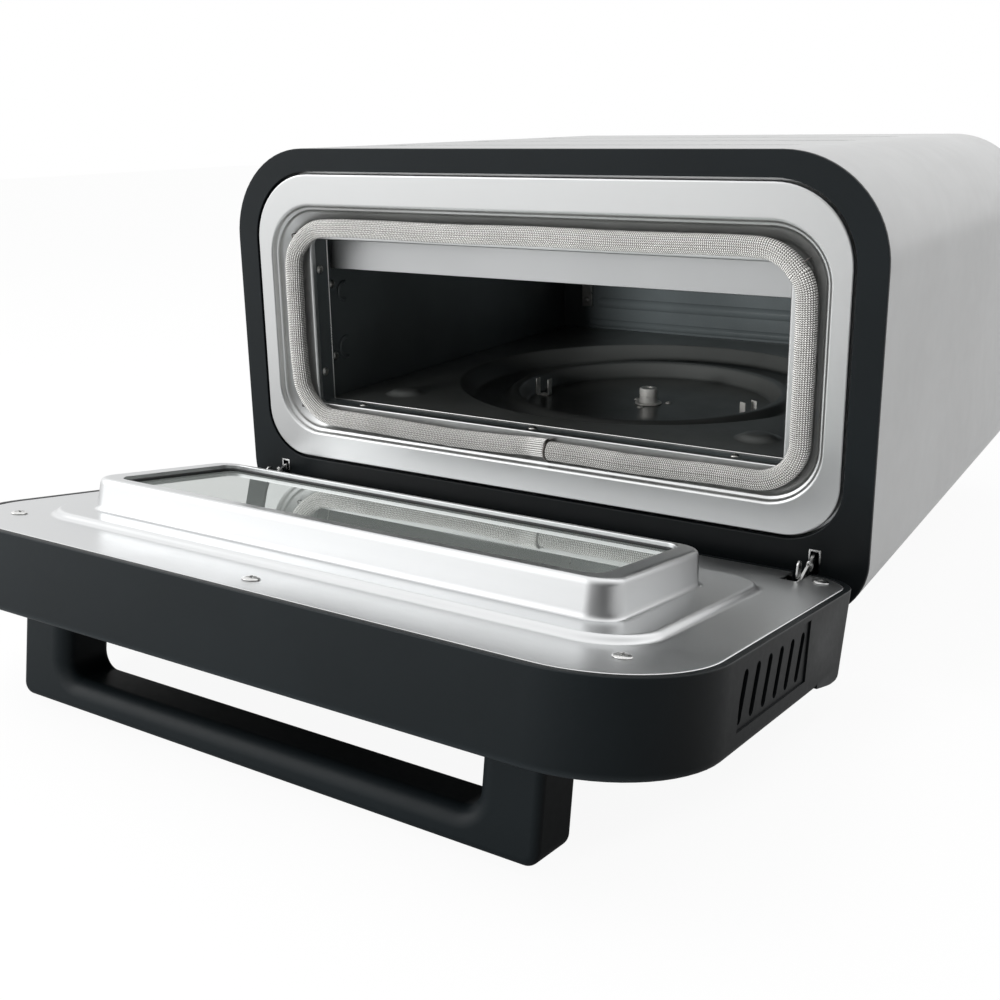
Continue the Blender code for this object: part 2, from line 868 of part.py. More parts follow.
def make_stone_bracket(name, side):
    """Bright U-shaped tab that keeps the baking stone in its place."""
    base = chamber_floor - dish_drop + fit_gap
    left = side * bracket_x - bracket_half_width
    right = side * bracket_x + bracket_half_width
    profile = (
        (left, base),
        (right, base),
        (right, base + bracket_height),
        (right - thin_sheet, base + bracket_height),
        (right - thin_sheet, base + thin_sheet),
        (left + thin_sheet, base + thin_sheet),
        (left + thin_sheet, base + bracket_height),
        (left, base + bracket_height),
    )
    front = bracket_y - bracket_half_depth
    mesh = prism([profile], front, bracket_y + bracket_half_depth)
    return add_object(name, mesh, body, zinc_plate)


post_radius = 0.007
post_flange_radius = 0.0105
post_height = 0.0125
post_stem_length = 0.009


def make_centre_post():
    """Round sensor post in the middle of the well, with a stem through the floor."""
    base = chamber_floor - dish_drop + fit_gap
    stem = post_hole_radius - fit_gap
    profile = (
        (0.0, base - post_stem_length),
        (stem, base - post_stem_length),
        (stem, base),
        (post_flange_radius, base),
        (post_flange_radius, base + sheet),
        (post_radius, base + sheet),
        (post_radius, base + post_height - sheet),
        (post_radius - sheet, base + post_height),
        (0.0, base + post_height),
    )
    mesh = moved(turned(profile), (0.0, well_centre_y, 0.0))
    return add_object("centre_post", mesh, body, zinc_plate, smooth=True)


arm_thickness = 0.003
arm_half_height = 0.0055
arm_eye_radius = 0.0055
arm_back = 0.045
arm_foot_length = 0.020
hinge_pin_radius = 0.0025
running_gap = 0.0001


def make_hinge_arm(name, side):
    """Fixed arm that reaches out under the mouth and ends in an eye round the hinge pin."""
    eye = []
    for step in range(11):
        turn = radians(90 + 18 * step)
        across = hinge_axis_y + arm_eye_radius * cos(turn)
        eye.append((across, hinge_axis_z + arm_eye_radius * sin(turn)))
    foot_front = arm_back - arm_foot_length
    bend_centre = body_width / 2 - body_bottom_radius
    facet_share = cos(pi / (4 * corner_steps))
    bend_radius = (body_bottom_radius - casing_wall) * facet_share
    bend_reach = max(arm_inner + arm_thickness - bend_centre, 0.0)
    low = body_bottom_radius - sqrt(bend_radius**2 - bend_reach**2) + fit_gap
    profile = [
        *eye,
        (foot_front, hinge_axis_z - arm_half_height),
        (foot_front, low),
        (arm_back, low),
        (arm_back, hinge_axis_z + arm_half_height),
    ]
    hole = circle_points(hinge_axis_y, hinge_axis_z, hinge_pin_radius + running_gap, 12)
    start, end = sorted((side * arm_inner, side * (arm_inner + arm_thickness)))
    mesh = prism([profile, hole], start, end, "x")
    return add_object(name, mesh, body, zinc_plate)


foot_side_space = 0.065
foot_front_y = 0.045
foot_back_space = 0.044
foot_x = body_width / 2 - foot_side_space
foot_back_y = body_depth - foot_back_space
foot_top_radius = 0.017
foot_bottom_radius = 0.0145
foot_bevel = 0.0015


def make_foot(name, across, along):
    """Moulded foot screwed to the underside of the casing."""
    profile = (
        (0.0, -foot_height),
        (foot_bottom_radius - foot_bevel, -foot_height),
        (foot_bottom_radius, foot_bevel - foot_height),
        (foot_top_radius, -fit_gap),
        (0.0, -fit_gap),
    )
    mesh = moved(turned(profile), (across, along, 0.0))
    return add_object(name, mesh, body, soft_rubber, smooth=True)


cutout_radius = 0.009
cutout_length = 0.007
cutout_x = 0.060
cutout_z = 0.155


def make_thermal_cutout():
    """Safety thermostat fixed to the back of the chamber."""
    start = chamber_back + thin_sheet + fit_gap
    disc = circle_points(cutout_x, cutout_z, cutout_radius, 16)
    mesh = prism([disc], start, start + cutout_length)
    return add_object("thermal_cutout", mesh, body, black_plastic)


terminal_gap = 0.010
terminal_length = 0.035
terminal_depth = 0.022
terminal_back_gap = 0.008
terminal_right = gland_x - terminal_gap
terminal_left = terminal_right - terminal_length
terminal_back = chamber_back - terminal_back_gap
terminal_front = terminal_back - terminal_depth
terminal_height = 0.016


def make_terminal_block():
    """Block on the base plate that joins the supply to the wiring."""
    low = base_top + fit_gap
    plan = rectangle(terminal_left, terminal_right, terminal_front, terminal_back)
    mesh = prism([plan], low, low + terminal_height, "z")
    return add_object("terminal_block", mesh, body, white_wool)


# Sizes of the door's shell, in closed oven coordinates. Depth runs from the inner face outwards
rim_width = 0.0036
cover_outline = Outline(
    door_width / 2, door_bottom, door_bottom + door_length, door_bottom_radius, door_top_radius
)
cover_wall = 0.0025
cover_floor = 0.0025
end_slant = 0.167
wedge_depth = 0.0055
wedge_top = 0.0696
wedge_bottom = 0.0336
vent_slot_count = 6
vent_recess_low = 0.0925
vent_recess_top_space = 0.0764
vent_recess_high = door_length - vent_recess_top_space
vent_slot_margin = 0.0081
vent_slot_top_margin = 0.0084
vent_slot_first = vent_recess_low + vent_slot_margin
vent_slot_last = vent_recess_high - vent_slot_top_margin
vent_slot_pitch = (vent_slot_last - vent_slot_first) / (vent_slot_count - 1)
vent_slot_half_width = 0.0023
vent_slot_shallow = 0.0078
vent_slot_deep = 0.032
vent_slot_lean = 0.0045
vent_recess_shallow = 0.003
vent_recess_deep = 0.0345
vent_recess_depth = 0.0010
glass_side_space = 0.0713
glass_top_space = 0.0754
glass_opening_half = door_width / 2 - glass_side_space
glass_opening_low = 0.0930
glass_opening_high = door_length - glass_top_space
outer_glass_reach = 0.0020
outer_glass_drop = 0.0030
outer_glass_rise = 0.0015
outer_glass_low = glass_opening_low - outer_glass_drop
outer_glass_high = glass_opening_high + outer_glass_rise
outer_glass_half = glass_opening_half + outer_glass_reach
outer_glass_lap = 0.008
outer_glass_thickness = 0.004
notch_near = 0.0015
notch_far = 0.0087
notch_inner = arm_inner - notch_near
notch_outer = arm_inner + notch_far
notch_length = 0.0276
cover_notch_depth = 0.033
pillar_radius = 0.005
screw_shank_radius = 0.0018
screw_hole_radius = screw_shank_radius + fit_gap
screw_left_space = 0.0353
screw_right_space = 0.0383
screw_corner_space = 0.0178
screw_top_space = 0.0373
screw_middle_space = 0.0213
screw_bottom = 0.0192
screw_places = (
    ("left_top", screw_left_space - door_width / 2, door_length - screw_top_space),
    ("middle_top", 0.0, door_length - screw_middle_space),
    ("right_top", door_width / 2 - screw_right_space, door_length - screw_top_space),
    ("left_bottom", screw_corner_space - door_width / 2, screw_bottom),
    ("right_bottom", door_width / 2 - screw_corner_space, screw_bottom),
)
handle_side_space = 0.0623
handle_leg_width = 0.033
handle_top_space = 0.0210
handle_width = 0.0323
handle_half = door_width / 2 - handle_side_space
handle_leg_inner = handle_half - handle_leg_width
handle_screw_x = (handle_half + handle_leg_inner) / 2
handle_screw_hole_radius = 0.0025
handle_high = door_length - handle_top_space
handle_low = handle_high - handle_width


def depth_y(depth):
    """Y of a depth inside the closed door, measured from its inner face."""
    return -door_gap - depth


def cover_ring(depth, inset):
    """One ring of the cover, whose hinge end leans in as the door gets deeper."""
    shape = grown(cover_outline, -inset)
    lean = end_slant * depth
    return outline_points(shape._replace(low=shape.low + lean)), depth_y(depth)


def wedge_profile(reach):
    """Side view, in Y and Z, of the thicker band along the bottom of the door."""
    thick = door_thickness + wedge_depth
    return (
        (depth_y(door_thickness / 2), -reach),
        (depth_y(door_thickness / 2), wedge_top),
        (depth_y(door_thickness), wedge_top),
        (depth_y(thick), wedge_bottom),
        (depth_y(thick + reach), wedge_bottom),
        (depth_y(thick + reach), -reach),
    )


control_centre_z = (wedge_top + wedge_bottom) / 2
control_centre_depth = door_thickness + wedge_depth / 2
control_tilt = atan2(wedge_depth, wedge_top - wedge_bottom)
control_place = (0.0, depth_y(control_centre_depth), control_centre_z)
knob_side_space = 0.1243
knob_x = door_width / 2 - knob_side_space
knob_shaft_hole_radius = 0.0033
button_radius = 0.009
button_gap = 0.0003


def control_hole(across, radius):
    """A cutter square to the sloping control band."""
    mesh = turned(((0.0, -overrun), (radius, -overrun), (radius, overrun), (0.0, overrun)), 16)
    turn = pi / 2 - control_tilt
    return moved(mesh, (across, control_place[1], control_place[2]), "X", turn)


def vent_slot_cutters():
    """Leaning slots through both side walls of the cover."""
    cutters = []
    reach = door_width / 2
    for side in (-1, 1):
        start, end = sorted((side * (reach - overrun), side * (reach + overrun)))
        for slot in range(vent_slot_count):
            low = vent_slot_first + slot * vent_slot_pitch
            profile = (
                (depth_y(vent_slot_shallow), low - vent_slot_half_width),
                (depth_y(vent_slot_shallow), low + vent_slot_half_width),
                (depth_y(vent_slot_deep), low + vent_slot_lean + vent_slot_half_width),
                (depth_y(vent_slot_deep), low + vent_slot_lean - vent_slot_half_width),
            )
            cutters.append(prism([profile], start, end, "x"))
    return gathered(cutters)


def vent_recess_cutters():
    """Shallow fields that the side slots stand in."""
    cutters = []
    reach = door_width / 2
    profile = rectangle(
        depth_y(vent_recess_deep), depth_y(vent_recess_shallow), vent_recess_low, vent_recess_high
    )
    for side in (-1, 1):
        start, end = sorted((side * (reach - vent_recess_depth), side * (reach + overrun)))
        cutters.append(prism([profile], start, end, "x"))
    return gathered(cutters)


def make_door_cover():
    """Moulded outer shell of the door: side vents, sloping control band and window."""
    edge = cover_edge_radius
    rim = frame_edge_radius / 2
    outer_rings = (
        cover_ring(0.0, rim),
        cover_ring(rim, 0.0),
        cover_ring(door_thickness - edge, 0.0),
        cover_ring(door_thickness - edge * 0.3, edge * 0.3),
        cover_ring(door_thickness, edge),
    )
    cover = add_object("door_cover", lofted(outer_rings, False), door, black_plastic, smooth=True)
    thick = door_thickness + wedge_depth
    wedge_rings = (
        cover_ring(door_thickness / 2, 0.0),
        cover_ring(thick - edge, 0.0),
        cover_ring(thick - edge * 0.3, edge * 0.3),
        cover_ring(thick, edge),
    )
    block = add_object("door_wedge", lofted(wedge_rings, False), door)
    block.hide_render = True
    block.display_type = "WIRE"
    reach = door_width / 2 + overrun
    side_view = prism([wedge_profile(overrun)], -reach, reach, "x")
    combine(block, side_view, "INTERSECT", door)
    thicken = cover.modifiers.new("thicken", "BOOLEAN")
    thicken.operation = "UNION"
    thicken.solver = "EXACT"
    thicken.object = block
    hollow_rings = (
        cover_ring(-overrun, rim_width),
        cover_ring(sheet * 2, rim_width),
        cover_ring(sheet * 2, cover_wall),
        cover_ring(door_thickness - cover_floor, cover_wall),
    )
    combine(cover, lofted(hollow_rings, False), "DIFFERENCE", door)
    floor_y = depth_y(door_thickness - cover_floor / 2)
    pillars = []
    for _, across, up in screw_places:
        disc = circle_points(across, up, pillar_radius, 12)
        pillars.append(prism([disc], floor_y, depth_y(sheet + fit_gap)))
    combine(cover, gathered(pillars), "UNION", door)
    drills = []
    for _, across, up in screw_places:
        disc = circle_points(across, up, screw_hole_radius, 10)
        drills.append(prism([disc], depth_y(pillar_depth), depth_y(-overrun)))
    for side in (-1, 1):
        disc = circle_points(
            side * handle_screw_x, (handle_low + handle_high) / 2, handle_screw_hole_radius, 12
        )
        deep = depth_y(door_thickness + overrun)
        drills.append(prism([disc], deep, depth_y(door_thickness - overrun)))
        drills.append(control_hole(side * knob_x, knob_shaft_hole_radius))
        edges = sorted((side * notch_inner, side * notch_outer))
        notch = rectangle(*edges, -overrun, notch_length)
        drills.append(prism([notch], depth_y(cover_notch_depth), depth_y(-overrun)))
    drills.append(control_hole(0.0, button_radius + button_gap))
    window = Outline(
        outer_glass_half - outer_glass_lap,
        outer_glass_low + outer_glass_lap,
        outer_glass_high - outer_glass_lap,
        outer_glass_lap,
        outer_glass_lap,
    )
    deep = depth_y(door_thickness + overrun)
    drills.append(prism([outline_points(window, 3)], deep, depth_y(door_thickness - overrun)))
    combine(cover, gathered(drills), "DIFFERENCE", door)
    combine(cover, vent_recess_cutters(), "DIFFERENCE", door)
    combine(cover, vent_slot_cutters(), "DIFFERENCE", door)
    return cover


pillar_depth = 0.020
inner_edge_radius = 0.0016
inner_panel_edge = grown(cover_outline, -rim_width - fit_gap)
inner_panel_outline = inner_panel_edge._replace(
    low=inner_panel_edge.low + end_slant * inner_edge_radius * 1.5
)
low_step_side_space = 0.0373
low_step_top_space = 0.0453
low_step_outline = Outline(
    door_width / 2 - low_step_side_space,
    0.0516,
    door_length - low_step_top_space,
    0.020,
    0.030,
)
low_step_height = 0.0036
raised_side_space = 0.0581
raised_top_space = 0.0654
raised_foot_outline = Outline(
    door_width / 2 - raised_side_space,
    0.0868,
    door_length - raised_top_space,
    0.014,
    0.015,
)
raised_height = 0.0225
raised_draft = 0.0015
raised_edge = 0.0025
glass_lip = 0.0035
glass_opening = Outline(
    glass_opening_half, glass_opening_low, glass_opening_high, 0.008, 0.010
)


def make_door_inner_panel():
    """Pressed steel inner panel with a low step and a raised frame for the glass."""
    slope = low_step_height * 0.8
    shoulder = grown(raised_foot_outline, low_step_height / 2)
    crown = grown(raised_foot_outline, -raised_draft)
    top = grown(crown, -raised_edge)
    rise = raised_height - raised_edge
    front = (
        (inner_panel_outline, -inner_edge_radius * 1.5),
        (inner_panel_outline, -inner_edge_radius / 2),
        (grown(inner_panel_outline, -inner_edge_radius), 0.0),
        (grown(low_step_outline, slope / 2), 0.0),
        (grown(low_step_outline, -slope / 2), low_step_height),
        (shoulder, low_step_height),
        (raised_foot_outline, low_step_height * 1.5),
        (crown, rise),
        (grown(crown, -raised_edge / 3), raised_height - raised_edge / 3),
        (top, raised_height),
        (glass_opening, raised_height),
        (glass_opening, raised_height - glass_lip),
    )
    back = (
        (grown(glass_opening, sheet), raised_height - glass_lip),
        (grown(glass_opening, sheet), raised_height - sheet),
        (top, raised_height - sheet),
        (grown(crown, -sheet), rise - sheet),
        (grown(raised_foot_outline, -sheet), low_step_height * 1.5 - sheet),
        (shoulder, low_step_height - sheet),
        (grown(low_step_outline, -slope / 2), low_step_height - sheet),
        (grown(low_step_outline, slope / 2), -sheet),
        (grown(inner_panel_outline, -inner_edge_radius), -sheet),
        (grown(inner_panel_outline, -sheet), -inner_edge_radius * 1.5),
    )
    rings = [(outline_points(shape), depth_y(-height)) for shape, height in (*front, *back)]
    panel = add_object("door_inner_panel", lofted(rings), door, pressed_steel, smooth=True)
    cutters = []
    for side in (-1, 1):
        edges = sorted((side * notch_inner, side * notch_outer))
        notch = rectangle(*edges, -overrun, notch_length)
        cutters.append(prism([notch], depth_y(overrun), depth_y(-overrun)))
    for _, across, up in screw_places:
        disc = circle_points(across, up, screw_hole_radius, 10)
        cutters.append(prism([disc], depth_y(overrun), depth_y(-overrun)))
    combine(panel, gathered(cutters), "DIFFERENCE", door)
    return panel


inner_glass_lap = 0.003
inner_glass_thickness = 0.004
clamp_flange = 0.016


def make_inner_glass():
    """Tempered glass under the lip of the raised frame."""
    shape = grown(glass_opening, inner_glass_lap)
    high = raised_height - glass_lip - fit_gap
    rings = (
        (outline_points(shape, 3), depth_y(-high)),
        (outline_points(shape, 3), depth_y(inner_glass_thickness - high)),
    )
    return add_object("inner_glass", lofted(rings, False), door, clear_glass)


def make_glass_clamp():
    """Sheet frame that presses the inner glass up from behind, held under the low step."""
    high = raised_height - glass_lip - inner_glass_thickness - fit_gap * 2
    wall = grown(raised_foot_outline, -raised_draft - sheet - fit_gap)
    seat = low_step_height - sheet - fit_gap
    inner = grown(glass_opening, -inner_glass_lap / 5)
    rings = (
        (outline_points(inner), depth_y(-high)),
        (outline_points(wall), depth_y(-high)),
        (outline_points(wall), depth_y(-seat)),
        (outline_points(grown(wall, clamp_flange)), depth_y(-seat)),
        (outline_points(grown(wall, clamp_flange)), depth_y(sheet - seat)),
        (outline_points(grown(wall, -sheet)), depth_y(sheet - seat)),
        (outline_points(grown(wall, -sheet)), depth_y(sheet - high)),
        (outline_points(inner), depth_y(sheet - high)),
    )
    return add_object("glass_clamp", lofted(rings), door, zinc_plate)


def make_outer_glass():
    """Dark glass behind the window in the outer shell."""
    shape = Outline(
        outer_glass_half, outer_glass_low, outer_glass_high, outer_glass_lap, outer_glass_lap
    )
    deep = door_thickness - cover_floor - fit_gap
    rings = (
        (outline_points(shape, 3), depth_y(deep)),
        (outline_points(shape, 3), depth_y(deep - outer_glass_thickness)),
    )
    return add_object("outer_glass", lofted(rings, False), door, clear_glass)


handle_grip_inner_depth = 0.080
handle_bar_thickness = 0.0162
handle_grip_outer_depth = handle_grip_inner_depth + handle_bar_thickness
handle_outer_radius = 0.014
handle_inner_radius = 0.010
handle_edge = 0.005
handle_screw_length = 0.012
handle_screw_head_radius = 0.0045
handle_screw_head_height = 0.003


def handle_plan():
    """The bar and its two legs seen from above, in X and Y."""
    root = depth_y(door_thickness - handle_edge)
    grip = depth_y(handle_grip_outer_depth)
    inside = depth_y(handle_grip_inner_depth)
    steps = 4
    right = [(handle_half, root)]
    for step in range(steps + 1):
        turn = radians(90 * step / steps)
        across = handle_half - handle_outer_radius * (1 - cos(turn))
        right.append((across, grip + handle_outer_radius * (1 - sin(turn))))
    inner = []
    for step in range(steps + 1):
        turn = radians(90 * step / steps)
        across = handle_leg_inner - handle_inner_radius * (1 - sin(turn))
        inner.append((across, inside + handle_inner_radius * (1 - cos(turn))))
    inner.append((handle_leg_inner, root))
    left = [(-across, along) for across, along in reversed(right)]
    left_inner = [(-across, along) for across, along in reversed(inner)]
    return [*right, *left, *left_inner, *inner]


def make_door_handle():
    """Moulded bar handle on two legs, along the free end of the door."""
    mesh = prism([handle_plan()], handle_low, handle_high, "z")
    handle = add_object("door_handle", mesh, door, black_plastic, smooth=True)
    soften = handle.modifiers.new("soft_edges", "BEVEL")
    soften.width = handle_edge
    soften.segments = 2
    soften.limit_method = "ANGLE"
    soften.angle_limit = radians(50)
    face = depth_y(door_thickness + fit_gap)
    room = rectangle(-door_width, door_width, face, face + overrun * 2)
    combine(handle, prism([room], handle_low - overrun, handle_high + overrun, "z"),
            "DIFFERENCE", door)
    drills = []
    for side in (-1, 1):
        disc = circle_points(
            side * handle_screw_x, (handle_low + handle_high) / 2, handle_screw_hole_radius, 12
        )
        drills.append(prism([disc], face + overrun, face - handle_screw_length - sheet))
    combine(handle, gathered(drills), "DIFFERENCE", door)
    return handle


def make_handle_screw(name, side):
    """Screw from inside the cover into one leg of the handle."""
    shank = handle_screw_hole_radius - fit_gap
    seat = door_thickness - cover_floor - fit_gap
    profile = (
        (0.0, handle_screw_head_height),
        (handle_screw_head_radius, handle_screw_head_height),
        (handle_screw_head_radius, 0.0),
        (shank, 0.0),
        (shank, -cover_floor - handle_screw_length),
        (0.0, -cover_floor - handle_screw_length),
    )
    place = (side * handle_screw_x, depth_y(seat), (handle_low + handle_high) / 2)
    mesh = moved(turned(profile, 12), place, "X", -pi / 2)
    return add_object(name, mesh, door, zinc_plate, smooth=True)


screw_head_radius = 0.0048
screw_head_height = 0.0022
screw_length = 0.014


def make_panel_screw(name, across, up):
    """Round-headed screw through the inner panel into a pillar of the cover."""
    profile = (
        (0.0, screw_head_height),
        (screw_head_radius * 0.6, screw_head_height * 0.85),
        (screw_head_radius, fit_gap * 2),
        (screw_head_radius, fit_gap),
        (screw_shank_radius, fit_gap),
        (screw_shank_radius, -screw_length),
        (0.0, -screw_length),
    )
    mesh = moved(turned(profile, 12), (across, depth_y(0.0), up), "X", -pi / 2)
    return add_object(name, mesh, door, zinc_plate, smooth=True)


bracket_leg_near = 0.0055
bracket_leg_far = 0.0112
bracket_leg_inner = arm_inner - bracket_leg_near
bracket_leg_outer = arm_inner + bracket_leg_far
hinge_sheet = 0.002
hinge_bracket_flange = 0.012
hinge_bracket_depth = 0.0295
hinge_bracket_low = door_bottom + end_slant * hinge_bracket_depth + cover_wall + fit_gap
hinge_bracket_high = 0.0410
link_pin_z = 0.0156
link_pin_depth = 0.004
link_pin_radius = 0.0012


def make_hinge_bracket(name, side):
    """Hat-shaped bracket inside the door that carries the hinge pin and the link's pin."""
    top = depth_y(sheet + fit_gap)
    low = depth_y(hinge_bracket_depth)
    left = bracket_leg_inner
    right = bracket_leg_outer
    flange = hinge_bracket_flange
    profile = [
        (left - flange, top - hinge_sheet),
        (left - flange, top),
        (left + hinge_sheet, top),
        (left + hinge_sheet, low + hinge_sheet),
        (right - hinge_sheet, low + hinge_sheet),
        (right - hinge_sheet, top),
        (right, top),
        (right, low),
        (left, low),
        (left, top - hinge_sheet),
    ]
    profile = [(side * across, along) for across, along in profile]
    mesh = prism([profile], hinge_bracket_low, hinge_bracket_high, "z")
    bracket = add_object(name, mesh, door, zinc_plate)
    start, end = sorted((side * (left - flange * 2), side * (left + hinge_sheet * 1.5)))
    hole = circle_points(hinge_axis_y, hinge_axis_z, hinge_pin_radius + fit_gap, 12)
    combine(bracket, prism([hole], start, end, "x"), "DIFFERENCE", door)
    start, end = sorted((side * (right - hinge_sheet * 1.5), side * (right + hinge_sheet)))
    hole = circle_points(depth_y(link_pin_depth), link_pin_z, link_pin_radius + fit_gap, 10)
    combine(bracket, prism([hole], start, end, "x"), "DIFFERENCE", door)
    return bracket


pin_head_radius = 0.004
pin_head_height = 0.0015
pin_stand_out = 0.0006


def make_hinge_pin(name, side):
    """Headed pin through the bracket and the eye of the fixed arm."""
    head = bracket_leg_inner - fit_gap
    end = arm_inner + arm_thickness + pin_stand_out
    profile = (
        (0.0, head - pin_head_height),
        (pin_head_radius, head - pin_head_height),
        (pin_head_radius, head),
        (hinge_pin_radius, head),
        (hinge_pin_radius, end),
        (0.0, end),
    )
    mesh = moved(turned(profile, 12), (0.0, hinge_axis_y, hinge_axis_z), "Y", side * pi / 2)
    return add_object(name, mesh, door, spring_steel, smooth=True)


link_offset = 0.0057
link_inner = arm_inner + link_offset
link_thickness = 0.0018


def make_link_pin(name, side):
    """Small rivet in the bracket on which the link turns."""
    start = link_inner - pin_stand_out
    head = bracket_leg_outer + fit_gap
    profile = (
        (0.0, start),
        (link_pin_radius, start),
        (link_pin_radius, head),
        (link_pin_radius * 2, head),
        (link_pin_radius * 2, head + link_pin_radius),
        (0.0, head + link_pin_radius),
    )
    place = (0.0, depth_y(link_pin_depth), link_pin_z)
    mesh = moved(turned(profile, 10), place, "Y", side * pi / 2)
    return add_object(name, mesh, door, spring_steel, smooth=True)


# The link points this far above level when the door is open
link_open_slope = 18.0
link_empty_place = (0.0, depth_y(link_pin_depth) - hinge_axis_y, link_pin_z - hinge_axis_z)
link_turn = radians(link_open_slope) - door_turn
link_half_height = 0.0024
link_eye_radius = 0.0030
link_length = 0.101
link_head_half_height = 0.0052
link_head_length = 0.0025
guide_from_end = 0.016
guide_reach = link_length - guide_from_end


def make_link(name, holder, side):
    """Flat link from the door through the frame to its guide; its head keeps the spring on."""
    neck = link_length - link_head_length
    eye = []
    for step in range(9):
        turn = radians(60 + 30 * step)
        eye.append((link_eye_radius * cos(turn), link_eye_radius * sin(turn)))
    profile = [
        *eye,
        (neck, -link_half_height),
        (neck, -link_head_half_height),
        (link_length, -link_head_half_height),
        (link_length, link_head_half_height),
        (neck, link_head_half_height),
        (neck, link_half_height),
    ]
    hole = circle_points(0.0, 0.0, link_pin_radius + running_gap, 10)
    start, end = sorted((side * link_inner, side * (link_inner + link_thickness)))
    return add_object(name, prism([profile, hole], start, end, "x"), holder, zinc_plate)


spring_coils = 6
spring_points = 9
spring_wire_radius = 0.0005
spring_mean_radius = 0.0039
spring_seat_gap = 0.0016
spring_start = guide_reach + spring_seat_gap


def make_link_spring(name, holder, side):
    """Coil spring threaded on the end of the link, between its guide and its head."""
    end = link_length - link_head_length - spring_wire_radius - fit_gap
    centre = side * (link_inner + link_thickness / 2)
    length = end - spring_start
    total = spring_coils * spring_points
    points = []
    for step in range(total + 1):
        turn = 2 * pi * step / spring_points
        along = spring_start + length * step / total
        across = centre + spring_mean_radius * cos(turn)
        points.append((across, along, spring_mean_radius * sin(turn)))
    spring = tube(name, points, spring_wire_radius, holder, spring_steel)
    spring.data.bevel_resolution = 0
    return spring


guide_thickness = 0.0016
guide_half_width = 0.009
guide_hole_half_width = 0.0016
guide_hole_half_height = 0.0056
guide_above = 0.009
guide_inner_reach = 0.028


def make_link_guide(name, side):
    """Bent tab on the base plate with a slot that the link slides through."""
    turn = radians(link_open_slope)
    pin_y = -(link_empty_place[1] * cos(door_turn) - link_empty_place[2] * sin(door_turn))
    pin_z = link_empty_place[1] * sin(door_turn) + link_empty_place[2] * cos(door_turn)
    guide_y = hinge_axis_y - pin_y + guide_reach * cos(turn)
    guide_z = hinge_axis_z + pin_z + guide_reach * sin(turn)
    centre = side * (link_inner + link_thickness / 2)
    low = base_top + fit_gap
    inner = abs(centre) - guide_inner_reach - guide_half_width
    outer = abs(centre) + guide_half_width
    top = guide_z + guide_above
    leg = abs(centre) - guide_half_width
    plate = [
        (side * inner, low),
        (side * leg, low),
        (side * outer, low + guide_inner_reach),
        (side * outer, top),
        (side * leg, top),
        (side * leg, low + guide_inner_reach),
        (side * inner, low + guide_thickness),
    ]
    hole = rectangle(
        centre - guide_hole_half_width,
        centre + guide_hole_half_width,
        guide_z - guide_hole_half_height,
        guide_z + guide_hole_half_height,
    )
    mesh = prism([plate, hole], guide_y - guide_thickness, guide_y)
    return add_object(name, mesh, body, zinc_plate)


# The sloping control band carries its own frame: Z points out of the band
control_empty = add_empty(
    "control_band_place",
    (0.0, control_place[1] - hinge_axis_y, control_place[2] - hinge_axis_z),
    door_empty,
    pi / 2 - control_tilt,
)
controls = Holder(control_empty, (0.0, 0.0, 0.0))
board_height = -0.0155
board_thickness = 0.0016
board_end_space = 0.020
board_half_length = knob_x + board_end_space
board_half_width = 0.013
dial_body_radius = 0.007
dial_body_top = -0.0078
switch_top = -0.0072
post_top_share = 0.153
band_floor = cover_floor + wedge_depth / 2
board_post_radius = 0.003


def make_control_board():
    """Circuit board behind the control band, with its two dials, switch and posts."""
    plan = rectangle(-board_half_length, board_half_length, -board_half_width, board_half_width)
    mesh = prism([plan], board_height, board_height + board_thickness, "z")
    board = add_object("control_board", mesh, controls, circuit_green)
    root = board_height + board_thickness / 2
    stems = []
    for side in (-1, 1):
        disc = circle_points(side * knob_x, 0.0, dial_body_radius, 12)
        stems.append(prism([disc], root, dial_body_top, "z"))
        post_x = side * (board_half_length - board_post_radius * 2)
        disc = circle_points(post_x, 0.0, board_post_radius, 8)
        post_top = -band_floor - board_post_radius * post_top_share - fit_gap
        stems.append(prism([disc], root, post_top, "z"))
    disc = circle_points(0.0, 0.0, board_post_radius, 8)
    stems.append(prism([disc], root, switch_top, "z"))
    combine(board, gathered(stems), "UNION", controls)
    return board


knob_radius = 0.015
knob_height = 0.012
knob_stand_off = 0.0005
knob_edge = 0.0012
knob_flute = 0.0005
knob_steps = 32
shaft_radius = 0.003
shaft_in_knob = 0.008


def make_knob(name, holder):
    """Fluted knob with a blind bore for its shaft."""
    bore = shaft_radius + running_gap
    bottom = knob_stand_off
    bore_top = bottom + shaft_in_knob + fit_gap
    profile = (
        (0.0, bore_top),
        (bore, bore_top),
        (bore, bottom),
        (knob_radius - knob_edge, bottom),
        (knob_radius, bottom + knob_edge),
        (knob_radius - knob_edge / 2, bottom + knob_height - knob_edge),
        (knob_radius - knob_edge * 2, bottom + knob_height),
        (0.0, bottom + knob_height),
    )
    mesh = turned(profile, knob_steps)
    for corner in mesh.verts:
        reach = hypot(corner.co.x, corner.co.y)
        step = round(knob_steps * (pi + atan2(corner.co.y, corner.co.x)) / (2 * pi))
        if reach > knob_radius - knob_edge and step % 2:
            corner.co.x *= 1 - knob_flute / knob_radius
            corner.co.y *= 1 - knob_flute / knob_radius
    return add_object(name, mesh, holder, black_plastic, smooth=True)


def make_knob_shaft(name, holder):
    """Shaft from the dial on the board up into the knob."""
    profile = (
        (0.0, dial_body_top + fit_gap),
        (shaft_radius, dial_body_top + fit_gap),
        (shaft_radius, knob_stand_off + shaft_in_knob),
        (0.0, knob_stand_off + shaft_in_knob),
    )
    return add_object(name, turned(profile, 12), holder, zinc_plate, smooth=True)


button_stand_out = 0.0030
button_travel = 0.0015
button_edge = 0.0008


